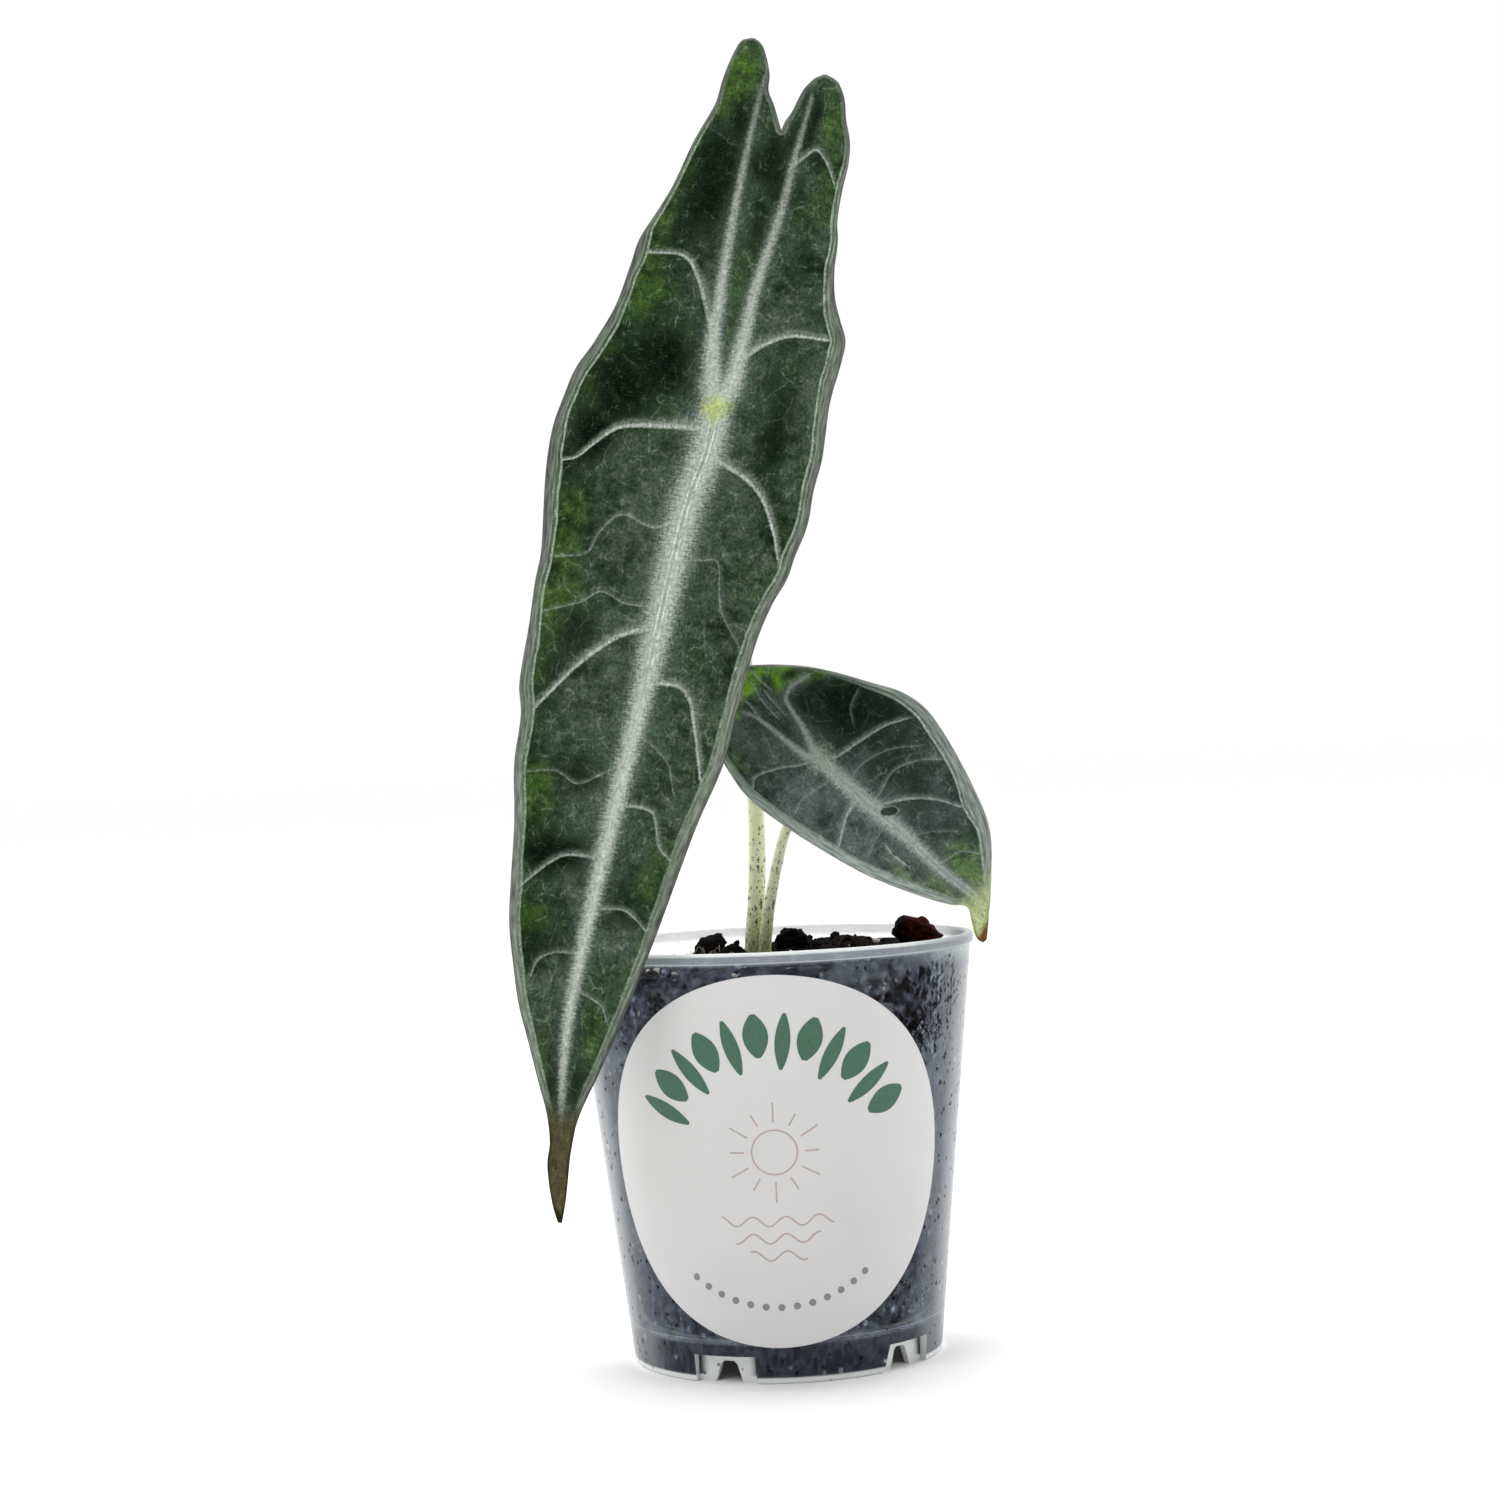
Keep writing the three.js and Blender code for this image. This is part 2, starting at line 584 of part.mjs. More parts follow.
// Raised rib on the underside of a blade, sunk partly into it.
function bladeRib(leaf, rib) {
  const [start, end] = rib.radius;
  const sink = 0.4;
  const points = [];
  const knots = rib.line.map(([q, p]) => new THREE.Vector2(q, p));
  const line = new THREE.SplineCurve(knots);
  for (let i = 0; i <= rib.steps; i += 1) {
    const { x: q, y: p } = line.getPoint(i / rib.steps);
    const radius = THREE.MathUtils.lerp(start, end, i / rib.steps);
    const behind = leaf.thickness / 2 + radius - Math.min(sink, radius);
    points.push(bladePoint(leaf, p, q).addScaledVector(bladeNormal(leaf, p, q), -behind));
  }
  const curve = new THREE.CatmullRomCurve3(points);
  return taperedTube(curve, (t) => THREE.MathUtils.lerp(start, end, t), rib.steps, 5);
}

// Short end of the leaf stalk that has grown into the back of the blade.
function stalkStub(leaf, radius) {
  const way = new THREE.Vector3(...leaf.stalk).normalize();
  const ends = [STUB.start, STUB.length].map((reach) => way.clone().multiplyScalar(reach));
  return taperedTube(new THREE.LineCurve3(...ends), () => radius, 1, STALK_SIDES);
}

// Blade: two halves of rows that share the midrib below the notch, thickened, with its ribs.
function makeBlade(leaf, stubRadius) {
  const points = [];
  const normals = [];
  const triangles = [];
  const columns = BLADE_COLUMNS.length;
  const halves = [[leaf.left, leaf.notchLeft], [leaf.right, leaf.notchRight]];
  halves.forEach(([outline, notchSide], half) => {
    const firstPoint = points.length;
    const rows = bladeRows(leaf, outline, notchSide);
    rows.forEach(([q, inner, outer], row) => {
      BLADE_COLUMNS.forEach((share, column) => {
        const p = THREE.MathUtils.lerp(inner, outer, share);
        points.push(bladePoint(leaf, p, q));
        normals.push(bladeNormal(leaf, p, q));
        if (row > 0 && column > 0) {
          const here = firstPoint + row * columns + column;
          const [before, below] = [here - 1, here - columns];
          const corners = [[below - 1, below, here], [below - 1, here, before]];
          triangles.push(...(half ? corners : corners.map(([a, b, c]) => [a, c, b])));
        }
      });
    });
  });
  const seam = (half, row) => half * (leaf.rows + leaf.lobeRows + 1) * columns + row * columns;
  const shared = new Map();
  for (let row = 0; row <= leaf.rows; row += 1) {
    shared.set(seam(1, row), seam(0, row));
  }
  const joined = triangles.map((face) => face.map((i) => shared.get(i) ?? i));
  let blade = thickSheet(points, normals, joined, leaf.thickness);
  for (const rib of leaf.ribs) {
    blade = blade.add(bladeRib(leaf, rib));
  }
  return toGeometry(blade.add(stalkStub(leaf, stubRadius)));
}

// Leaf stalk from the corm to the stub behind its blade.
function stalkFor(stalk, leafFrame, leaf) {
  const way = new THREE.Vector3(...leaf.stalk).normalize();
  const reaches = [2.6 * STUB.length, STUB.length + CLEARANCE];
  const top = reaches.map((reach) => leafFrame.localToWorld(way.clone().multiplyScalar(reach)));
  const foot = stalk.foot.map((point) => new THREE.Vector3(...point));
  const curve = new THREE.CatmullRomCurve3([...foot, ...top], false, 'centripetal');
  const table = stalk.radii.map((radius, i) => [i / (stalk.radii.length - 1), radius]);
  return {
    solid: (margin) => {
      const radiusAt = (t) => smooth(table, t) + margin;
      return taperedTube(curve, radiusAt, stalk.steps, STALK_SIDES);
    },
  };
}

function leafFrameOf(leaf) {
  const frame = new THREE.Group();
  frame.position.set(...leaf.joint);
  frame.rotation.y = leaf.lean * DEGREE;
  frame.updateMatrixWorld(true);
  return frame;
}

function piece(name, geometry, colour, roughness, extra = {}) {
  const material = new THREE.MeshStandardMaterial({ color: colour, roughness, metalness: 0, ...extra });
  const mesh = new THREE.Mesh(geometry, material);
  mesh.name = name;
  return mesh;
}

const plant = new THREE.Group();

plant.add(piece('pot', makePot(), COLOURS.clearPlastic, 0.2, { transparent: true, opacity: 0.35 }));
plant.add(piece('label', makeLabel(), COLOURS.paper, 0.6));

const longFrame = leafFrameOf(LONG_LEAF);
const smallFrame = leafFrameOf(SMALL_LEAF);
const longStalk = stalkFor(LONG_STALK, longFrame, LONG_LEAF);
const smallStalk = stalkFor(SMALL_STALK, smallFrame, SMALL_LEAF);

plant.add(piece('soil', makeSoil([longStalk, smallStalk]), COLOURS.soil, 0.95));
plant.add(piece('corm_and_roots', toGeometry(cormAndRoots(0)), COLOURS.corm, 0.8));
plant.add(piece('petiole_long_leaf', toGeometry(longStalk.solid(0)), COLOURS.stalk, 0.45));
plant.add(piece('petiole_small_leaf', toGeometry(smallStalk.solid(0)), COLOURS.stalk, 0.45));

longFrame.add(piece('blade_long_leaf', makeBlade(LONG_LEAF, 1.1), COLOURS.longBlade, 0.45));
smallFrame.add(piece('blade_small_leaf', makeBlade(SMALL_LEAF, 0.75), COLOURS.smallBlade, 0.45));
plant.add(longFrame, smallFrame);

CHIPS.forEach((chip, index) => {
  const geometry = toGeometry(toSolid(chipGeometry(chip, index, 0)));
  const colour = index === 1 ? COLOURS.blackBark : COLOURS.bark;
  const mesh = piece(`bark_chip_${index + 1}`, geometry, colour, 0.85);
  mesh.position.set(...chip.at);
  mesh.rotation.copy(chipTurn(chip));
  plant.add(mesh);
});

// The origin is the middle of the whole object's footprint, on the table.
const pottedAlocasia = new THREE.Group();
pottedAlocasia.add(plant);
const box = new THREE.Box3().setFromObject(plant, true);
plant.position.set(-(box.min.x + box.max.x) / 2, -(box.min.y + box.max.y) / 2, -box.min.z);

export default pottedAlocasia;
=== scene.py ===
import math
import random
from functools import partial, reduce

import bmesh
import bpy
import numpy as np
from mathutils import Matrix, Vector, kdtree, noise


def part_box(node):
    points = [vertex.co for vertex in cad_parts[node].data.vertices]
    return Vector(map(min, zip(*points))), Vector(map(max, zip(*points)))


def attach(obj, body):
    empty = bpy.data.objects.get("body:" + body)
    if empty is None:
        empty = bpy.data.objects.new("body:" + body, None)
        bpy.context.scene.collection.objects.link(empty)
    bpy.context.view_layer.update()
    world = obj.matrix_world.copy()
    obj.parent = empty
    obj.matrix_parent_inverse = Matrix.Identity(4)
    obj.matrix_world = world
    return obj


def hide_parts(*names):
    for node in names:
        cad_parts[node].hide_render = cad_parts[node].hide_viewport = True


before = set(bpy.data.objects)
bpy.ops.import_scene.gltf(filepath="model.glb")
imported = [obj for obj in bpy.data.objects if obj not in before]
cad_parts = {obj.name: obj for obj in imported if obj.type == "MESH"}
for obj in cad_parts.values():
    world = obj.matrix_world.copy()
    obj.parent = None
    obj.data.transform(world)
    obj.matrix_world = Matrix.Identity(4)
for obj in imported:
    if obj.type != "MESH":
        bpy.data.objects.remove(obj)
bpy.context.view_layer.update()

# Camera: a level view from the front through a short telephoto lens, not quite half a metre off.
# It is turned a little about its own axis, so that the plant leans slightly in the picture.
MM = 0.001
LENS = 68.63
CAMERA_PLACE = [-1.92, -430, 90.4]  # from the pot's axis, in millimetres
CAMERA_TURN = 2.5  # degrees


def placed(name, data):
    """New object of the scene."""
    made = bpy.data.objects.new(name, data)
    bpy.context.scene.collection.objects.link(made)
    return made


pot_low, pot_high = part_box("pot")
POT_AXIS = np.array([(pot_low.x + pot_high.x) / 2, (pot_low.y + pot_high.y) / 2, 0]) / MM
lens = bpy.data.cameras.new("camera")
lens.lens = LENS
camera = placed("camera", lens)
camera.location = Vector(POT_AXIS + CAMERA_PLACE) * MM
camera.rotation_euler = (math.radians(90), math.radians(CAMERA_TURN), 0)
bpy.context.scene.camera = camera

# Pot: a clear nursery pot of 6 cm, injection moulded in polypropylene. It is a thin cone with a
# rim band, a floor set up inside and a foot skirt with five drain notches cut through it.
POT_HEIGHT = 62
POT_FOOT_RADIUS = 23
POT_FLARE = 0.113  # radius gained for each millimetre of height
POT_WALL = 0.9
SKIRT_WALL = 1.2
RIM_RADIUS = 30.3
RIM_HEIGHT = 1.6
FLOOR = 6
FLOOR_THICKNESS = 1
FLOOR_CORNER = 1.6
POT_SIDES = 160
POT_SHARP = 35  # degrees, above which an edge stays crisp
NOTCHES = 5
FIRST_NOTCH = -24  # degrees from the front
NOTCH_WIDTH = 9.5
NOTCH_HEIGHT = 4
NOTCH_SET_BACK = 1.5
NOTCH_PANEL = 0.9
# Outline of the mouth cut through the wall in each notch, across and up.
MOUTH = [(-2.5, -1), (2.5, -1), (1.3, 2.5), (0.8, 3), (-0.8, 3), (-1.3, 2.5)]
HOLE_RING = 14
HOLE_RADIUS = 2.2
MIDDLE_HOLE_RADIUS = 2.8
HOLE_SIDES = 32


def linear(hex_colour):
    """Linear RGBA of an sRGB hex colour."""
    parts = [int(hex_colour[i:i + 2], 16) / 255 for i in (1, 3, 5)]
    return [c / 12.92 if c <= 0.04045 else ((c + 0.055) / 1.055) ** 2.4 for c in parts] + [1]


def add(tree, kind, inputs=None, out=0, **settings):
    """Adds a node with its settings and links, and gives back one of its outputs, or all."""
    node = tree.nodes.new("ShaderNode" + kind)
    for name, value in settings.items():
        setattr(node, name, value)
    for name, value in (inputs or {}).items():
        if isinstance(value, bpy.types.NodeSocket):
            tree.links.new(value, node.inputs[name])
        else:
            node.inputs[name].default_value = value
    return node.outputs if out is None else node.outputs[out]


def tree_of(*values):
    """Node tree that the first node output among some values belongs to."""
    return next(value.id_data for value in values if isinstance(value, bpy.types.NodeSocket))


def calc(operation, *values, **settings):
    """Maths on numbers and node outputs."""
    return add(tree_of(*values), "Math", dict(enumerate(values)), operation=operation, **settings)


def vector_calc(operation, *values, out=0):
    """Maths on vectors."""
    return add(tree_of(*values), "VectorMath", dict(enumerate(values)), out, operation=operation)


def times(*values):
    return reduce(partial(calc, "MULTIPLY"), values)


def plus(*values):
    return reduce(partial(calc, "ADD"), values)


def minus(first, second):
    return calc("SUBTRACT", first, second)


def rise(value, low, high, most=1.0, least=0.0, kind="LINEAR"):
    """Share that goes from its least to its most between two values."""
    return add(tree_of(value), "MapRange", {
        "Value": value, "From Min": low, "From Max": high, "To Min": least, "To Max": most,
    }, interpolation_type=kind)


def ramp(value, low, high, most=1.0, least=0.0):
    """The same, but smooth at both ends."""
    return rise(value, low, high, most, least, "SMOOTHSTEP")


def noisy(place, size, detail=2, roughness=0.5):
    """Even noise with grains of a size in millimetres."""
    return add(tree_of(place), "TexNoise", {
        "Vector": place, "Scale": 1 / (size * MM), "Detail": detail, "Roughness": roughness,
    })


def mix(share, first, second, **settings):
    """Colour between two, each a hex colour or a node output."""
    first, second = (linear(colour) if isinstance(colour, str) else colour for colour in (first, second))
    inputs = {"Fac": share, "Color1": first, "Color2": second}
    return add(tree_of(share, first, second), "MixRGB", inputs, **settings)


def coat(tree, shader, colour, height, depth, strength):
    """Gives a shader its colour and its fine relief, with a depth in millimetres."""
    tree.links.new(colour, shader.inputs["Base Color"])
    bump = add(tree, "Bump", {"Height": height, "Distance": depth * MM, "Strength": strength})
    tree.links.new(bump, shader.inputs["Normal"])


def start_material(name, levels):
    """A new material with its shader's fixed levels set."""
    made = bpy.data.materials.new(name)
    made.use_nodes = True
    shader = made.node_tree.nodes["Principled BSDF"]
    for socket, value in levels.items():
        shader.inputs[socket].default_value = value
    return made, made.node_tree, shader


def around(radius, azimuth, z):
    """Point at a radius and height from the pot's axis, at an angle from the front."""
    return np.array([radius * np.sin(azimuth), -radius * np.cos(azimuth), z + 0 * azimuth]).T


def skin(rings):
    """Closed skin through rings of points, with a fan of faces over each end."""
    rings = np.asarray(rings, float)
    count, sides, _ = rings.shape
    here = np.arange(count * sides).reshape(count, sides)
    beside = np.roll(here, -1, axis=1)
    quads = np.stack([here[:-1], beside[:-1], beside[1:], here[1:]], axis=-1).reshape(-1, 4)
    faces = quads.tolist()
    faces += [[count * sides, b, a] for a, b in zip(here[0], beside[0])]
    faces += [[count * sides + 1, a, b] for a, b in zip(here[-1], beside[-1])]
    ends = [rings[0].mean(0), rings[-1].mean(0)]
    return np.vstack([rings.reshape(-1, 3), ends]), faces


def gathered(parts):
    """Vertices and faces of several parts as one."""
    vertices, faces, offset = [], [], 0
    for part_vertices, part_faces in parts:
        vertices.append(part_vertices)
        faces += [[i + offset for i in face] for face in part_faces]
        offset += len(part_vertices)
    return np.vstack(vertices), faces


def smooth(mesh, sharp):
    """Smooth shading, with crisp edges above an angle in degrees."""
    mesh.shade_smooth()
    mesh.set_sharp_from_angle(angle=math.radians(sharp))


def solid(name, vertices, faces, sharp=POT_SHARP):
    """Object from points in millimetres off the pot's axis, its faces turned outwards."""
    mesh = bpy.data.meshes.new(name)
    mesh.from_pydata(((np.asarray(vertices) + POT_AXIS) * MM).tolist(), [], faces)
    work = bmesh.new()
    work.from_mesh(mesh)
    bmesh.ops.recalc_face_normals(work, faces=work.faces)
    work.to_mesh(mesh)
    work.free()
    smooth(mesh, sharp)
    return placed(name, mesh)


def carve(piece, tool, operation):
    """Joins, cuts or trims a piece with a tool, which is then gone."""
    modifier = piece.modifiers.new("carve", "BOOLEAN")
    modifier.operation = operation
    modifier.solver = "MANIFOLD"
    modifier.object = tool
    bpy.context.view_layer.update()
    graph = bpy.context.evaluated_depsgraph_get()
    done = bpy.data.meshes.new_from_object(piece.evaluated_get(graph))
    piece.modifiers.clear()
    piece.data = done
    bpy.data.objects.remove(tool)


def pot_radius(z):
    return POT_FOOT_RADIUS + POT_FLARE * z


def rounded(corners, steps=4):
    """Profile from corners (radius, height, rounding), each rounded by an arc."""
    profile = []
    for i, (radius, z, rounding) in enumerate(corners):
        here = Vector((radius, z))
        if rounding == 0:
            profile.append(here)
            continue
        before = Vector(corners[i - 1][:2]) - here
        after = Vector(corners[(i + 1) % len(corners)][:2]) - here
        reach = rounding / math.tan(before.angle(after) / 2)
        start = here + before.normalized() * reach
        end = here + after.normalized() * reach
        for t in np.linspace(0, 1, steps + 1):
            profile.append(start * (1 - t) ** 2 + here * 2 * t * (1 - t) + end * t * t)
    return profile


def turned(profile, sides=POT_SIDES):
    """Solid of revolution about the pot's axis."""
    angles = np.linspace(0, 2 * np.pi, sides, endpoint=False)
    return skin([around(radius, angles, z) for radius, z in profile])


def block(outline, depth):
    """Straight block from an outline across and up, as deep as given along the pot's radius."""
    count = len(outline)
    vertices = [(x, y, z) for y in (-depth / 2, depth / 2) for x, z in outline]
    sides = [[i, (i + 1) % count, (i + 1) % count + count, i + count] for i in range(count)]
    ends = [list(range(count)), list(range(2 * count - 1, count - 1, -1))]
    return np.array(vertices), ends + sides


def at_notches(part, radius, z):
    """Copies of a part at each drain notch."""
    copies = []
    vertices, faces = part
    for i in range(NOTCHES):
        azimuth = math.radians(FIRST_NOTCH) + 2 * math.pi * i / NOTCHES
        turn = np.array(Matrix.Rotation(azimuth, 3, "Z"))
        copies.append((vertices @ turn.T + around(radius, azimuth, z), faces))
    return gathered(copies)


def box_outline(width, low, high):
    return [(-width / 2, low), (width / 2, low), (width / 2, high), (-width / 2, high)]


def inner(z):
    return pot_radius(z) - POT_WALL


under = FLOOR - FLOOR_THICKNESS
rim_foot = POT_HEIGHT - RIM_HEIGHT
foot_edge = (pot_radius(0), 0, 0.5)
shell_profile = rounded([
    (1, under, 0),
    (pot_radius(under) - SKIRT_WALL, under, 0.3),
    (pot_radius(0) - SKIRT_WALL, 0, 0.25),
    foot_edge,
    (pot_radius(rim_foot), rim_foot, 0.25),
    (RIM_RADIUS, rim_foot + 0.15, 0.35),
    (RIM_RADIUS, POT_HEIGHT, 0.5),
    (inner(POT_HEIGHT), POT_HEIGHT, 0.3),
    (inner(FLOOR), FLOOR, FLOOR_CORNER),
    (1, FLOOR, 0),
])
foot_profile = rounded([(1, 0, 0), foot_edge, (pot_radius(FLOOR), FLOOR, 0), (1, FLOOR, 0)])
BLOCK = 4
recess_radius = pot_radius(0) - NOTCH_SET_BACK
panel_radius = recess_radius - NOTCH_PANEL
panel = block(box_outline(NOTCH_WIDTH + 2 * NOTCH_PANEL, 0, FLOOR), BLOCK)
recess = block(box_outline(NOTCH_WIDTH, -NOTCH_HEIGHT, NOTCH_HEIGHT), BLOCK)
hole_angles = np.linspace(0, 2 * np.pi, HOLE_SIDES, endpoint=False)
hole = skin([around(HOLE_RADIUS, hole_angles, z) for z in (-2, 2)])
middle_hole = skin([around(MIDDLE_HOLE_RADIUS, hole_angles, z) for z in (FLOOR - 2, FLOOR + 2)])

pot = solid("clear_pot", *turned(shell_profile))
panels = solid("panels", *at_notches(panel, panel_radius + BLOCK / 2, 0))
carve(panels, solid("foot", *turned(foot_profile)), "INTERSECT")
carve(pot, panels, "UNION")
carve(pot, solid("recesses", *at_notches(recess, recess_radius + BLOCK / 2, 0)), "DIFFERENCE")
carve(pot, solid("mouths", *at_notches(block(MOUTH, 2 * BLOCK), recess_radius, 0)), "DIFFERENCE")
carve(pot, solid("holes", *at_notches(hole, HOLE_RING, FLOOR)), "DIFFERENCE")
carve(pot, solid("middle_hole", *middle_hole), "DIFFERENCE")
smooth(pot.data, POT_SHARP)

# Clear polypropylene, moulded: glossy and a little milky. What it holds shows through a bluish
# veil with damp blotches and specks. It turns grey-white where it is seen edge on. A white
# highlight is painted along its cut edges and the top of its rim, and painted shade darkens the
# skirt under the floor and the sides of the rim band.
clear_plastic, tree, shader = start_material("polypropylene_moulded_clear", {
    "Roughness": 0.2, "IOR": 1.49, "Specular IOR Level": 0.25,
})
place = add(tree, "TexCoord", out="Object")
across, depth, height = add(tree, "SeparateXYZ", {0: place}, out=None)
outwards = vector_calc("SUBTRACT", place, Vector(POT_AXIS) * MM)
outwards = vector_calc("MULTIPLY", outwards, (1, 1, 0))
off_axis = vector_calc("LENGTH", outwards, out="Value")
outwards = vector_calc("NORMALIZE", outwards)
# Marks are laid on one cylinder round the pot's axis.
WALL_RADIUS = 27
spot = add(tree, "VectorMath", {0: outwards, "Scale": WALL_RADIUS * MM}, operation="SCALE")
spot = vector_calc("ADD", spot, add(tree, "CombineXYZ", {2: height}))


def at_height(low, high, most=1.0, least=0.0):
    """Share that rises between two heights in millimetres."""
    return ramp(height, low * MM, high * MM, most, least)


def cloudy(size, detail=3, stretch=(1, 1, 1)):
    """Even noise with grains of a size in millimetres, drawn out by a stretch."""
    return noisy(vector_calc("MULTIPLY", spot, [1 / s for s in stretch]), size, detail, 0.65)


def specks(cell, size, share):
    """Small dots, one to a cell of that size, kept in a share of the cells."""
    dots = add(tree, "TexVoronoi", {"Vector": spot, "Scale": 1 / (cell * MM), "Randomness": 1}, out=None)
    chance = add(tree, "SeparateColor", {0: dots["Color"]}, out="Red")
    return times(ramp(dots["Distance"], size, 0.5 * size), calc("LESS_THAN", chance, share))


def total(first, second):
    return calc("ADD", first, second, use_clamp=True)


edge_on = add(tree, "LayerWeight", {"Blend": 0.5}, out="Facing")
normal = add(tree, "NewGeometry", out="Normal")
facing_out = calc("ABSOLUTE", vector_calc("DOT_PRODUCT", outwards, normal, out="Value"))
# Painted highlight: faces that don't face outwards, such as cut faces, the notch recesses and the bottom edge
# of the foot, are painted near white for the light their edges catch; less on the rim.
set_back = ramp(off_axis, (POT_FOOT_RADIUS - 1) * MM, (POT_FOOT_RADIUS - 1.3) * MM)
set_back = times(set_back, at_height(NOTCH_HEIGHT + 0.9, NOTCH_HEIGHT + 0.3))
edge_highlight = total(ramp(facing_out, 0.85, 0.5), set_back)
edge_highlight = total(edge_highlight, at_height(1.1, 0.7))
edge_highlight = times(edge_highlight, at_height(rim_foot - 0.4, rim_foot, 0.45, 1))
rim_band = at_height(rim_foot - 0.5, rim_foot + 0.2)
# Painted shade: below the floor the skirt is made more opaque and dark.
skirt = at_height(FLOOR + 0.4, FLOOR - 0.6)
floor_line = calc("ABSOLUTE", minus(height, (FLOOR + 0.3) * MM))
floor_line = ramp(floor_line, 0.18 * MM, 0.05 * MM)
# Painted highlight: a near-white line along the top of the rim.
rim_top_highlight = at_height(POT_HEIGHT - 0.6, POT_HEIGHT - 0.3)
aside = minus(across, POT_AXIS[0] * MM)
# The wall is paler and milkier towards the right, most of all just under the rim.
pale_upper_right = times(ramp(aside, 17 * MM, 27 * MM), at_height(57.5, 61))
veil = ramp(cloudy(4.5, 5), 0.38, 0.66, 0.12, 0.02)
for more in (
    ramp(cloudy(1.4, 4), 0.46, 0.7, 0.12),
    ramp(aside, 18 * MM, 26 * MM, 0.06),
    times(pale_upper_right, 0.35),
    times(specks(2.4, 0.28, 0.4), 0.24),
    times(specks(1.1, 0.32, 0.35), 0.15),
    times(rim_band, 0.4),
    times(rim_top_highlight, 0.4),
    times(skirt, 0.58),
    times(floor_line, 0.25),
    times(edge_highlight, 0.6),
    ramp(edge_on, 0.36, 0.62, 0.34),
    ramp(edge_on, 0.6, 0.76, 0.5),
):
    veil = total(veil, more)
wet = total(specks(1.3, 0.3, 0.4), specks(3.3, 0.16, 0.6))
# Splashes that wetted the wall, as their middle, reach, grain size and stretch.
for middle, reach, size, stretch in (
    ((17.5, -20.5, 53.5), 9.5, 2.3, (1, 1, 1.1)),
    ((21.8, -15.6, 54), 11, 0.75, (1, 1, 1.5)),
    ((20, -18, 49), 9, 0.9, (1, 1, 1.6)),
):
    away = vector_calc("DISTANCE", spot, Vector(middle) * MM, out="Value")
    grains = total(cloudy(size, 4, stretch), ramp(away, reach * MM, 0.2 * reach * MM, 0.1, -0.06))
    wet = total(wet, times(ramp(grains, 0.61, 0.65), ramp(away, 1.1 * reach * MM, 0.9 * reach * MM)))
wet = times(wet, at_height(rim_foot - 0.5, rim_foot - 1))
veil = times(veil, minus(1.0, times(wet, 0.9)))
# The milkiness is all in the outer face, so that its marks stay sharp.
wall_middle = (POT_FOOT_RADIUS - POT_WALL / 2) * MM
inner_face = minus(off_axis, calc("MULTIPLY_ADD", height, POT_FLARE, wall_middle))
inner_face = ramp(inner_face, 0.1 * MM, -0.1 * MM)
inner_face = times(inner_face, at_height(FLOOR, FLOOR + 0.5), at_height(rim_foot + 0.5, rim_foot))
open_share = calc("SUBTRACT", 1.0, veil, use_clamp=True)
veil = minus(1.0, times(open_share, open_share))
veil = times(veil, minus(1.0, inner_face))
# The far side of the rim has less veil and stays nearly clear.
far_rim = ramp(depth, (POT_AXIS[1] + 2) * MM, (POT_AXIS[1] + 14) * MM, 0.65)
veil = times(veil, minus(1.0, times(far_rim, at_height(55, 59))))
tree.links.new(veil, shader.inputs["Alpha"])
tint = mix(ramp(cloudy(7), 0.42, 0.58), "#a0adb9", "#868ea6")
# Painted shade inside the skirt, in dark blue-grey.
skirt_shade_colour = mix(ramp(cloudy(1.1, 3, (1, 1, 1.7)), 0.4, 0.6), "#171b26", "#363d48")
# Painted shade: the rim band is greyer towards the pot's left and right.
rim_side_shade = times(rim_band, ramp(calc("ABSOLUTE", aside), 18 * MM, 28 * MM, 0.8))
for share, colour in (
    (skirt, skirt_shade_colour),
    (ramp(edge_on, 0.4, 0.6, 0.9), "#686f74"),
    (ramp(edge_on, 0.84, 0.96), "#666c70"),
    (times(floor_line, 0.5), "#8f97a0"),
    (pale_upper_right, "#9fa9ab"),
    (times(specks(2.7, 0.24, 0.5), 0.35), "#c2c8ca"),
    (times(rim_band, 0.95), "#99a0a6"),
    (rim_top_highlight, "#e6e9ea"),
    (edge_highlight, "#e6e9e8"),
    (rim_side_shade, "#7b8286"),
):
    tint = mix(share, tint, colour)
tree.links.new(tint, shader.inputs["Base Color"])
pot.data.materials.clear()
pot.data.materials.append(clear_plastic)
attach(pot, "root")
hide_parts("pot")

# Soil: a dark mix of peat, bark fines and a little perlite, filled to just under the rim. It is
# lumpy on top, with loose crumbs, and pressed flat where it lies against the pot.
SOIL_LEVEL = 59.4
SOIL_SINK = 1.5
MOUND = (-6, -3)  # across and in depth, beside the foot of the stalks
MOUND_REACH = 2.9
MOUND_HEIGHT = 2.2
MOUND_FALL = 2.6
SOIL_LUMPS = 34
SOIL_SEED = 11
SOIL_GAP = 0.35
SOIL_SIDES = 200
SOIL_TOP_RINGS = 80
SOIL_WALL_RINGS = 46
CRUMBS = 520


def repeatable(seed):
    """Numbers from 0 to 1, the same in each run."""
    state = seed
    while True:
        state = (state * 1664525 + 1013904223) % 2 ** 32
        yield state / 2 ** 32


def swells(draw):
    """Soil lumps: where each lies, how far it reaches and how high it stands."""
    lumps = []
    for _ in range(SOIL_LUMPS):
        distance = 25 * math.sqrt(next(draw))
        azimuth = 2 * math.pi * next(draw)
        reach = 2.5 + 3.5 * next(draw)
        lumps.append((*around(distance, azimuth, 0)[:2], reach, 0.8 + 1.7 * next(draw)))
    return lumps


def rough(point, size, depth):
    """Uneven height of a given grain size and depth, in millimetres."""
    return depth * noise.fractal(Vector(point) / size, 0.7, 2.1, 4)


soil_lumps = swells(repeatable(SOIL_SEED))


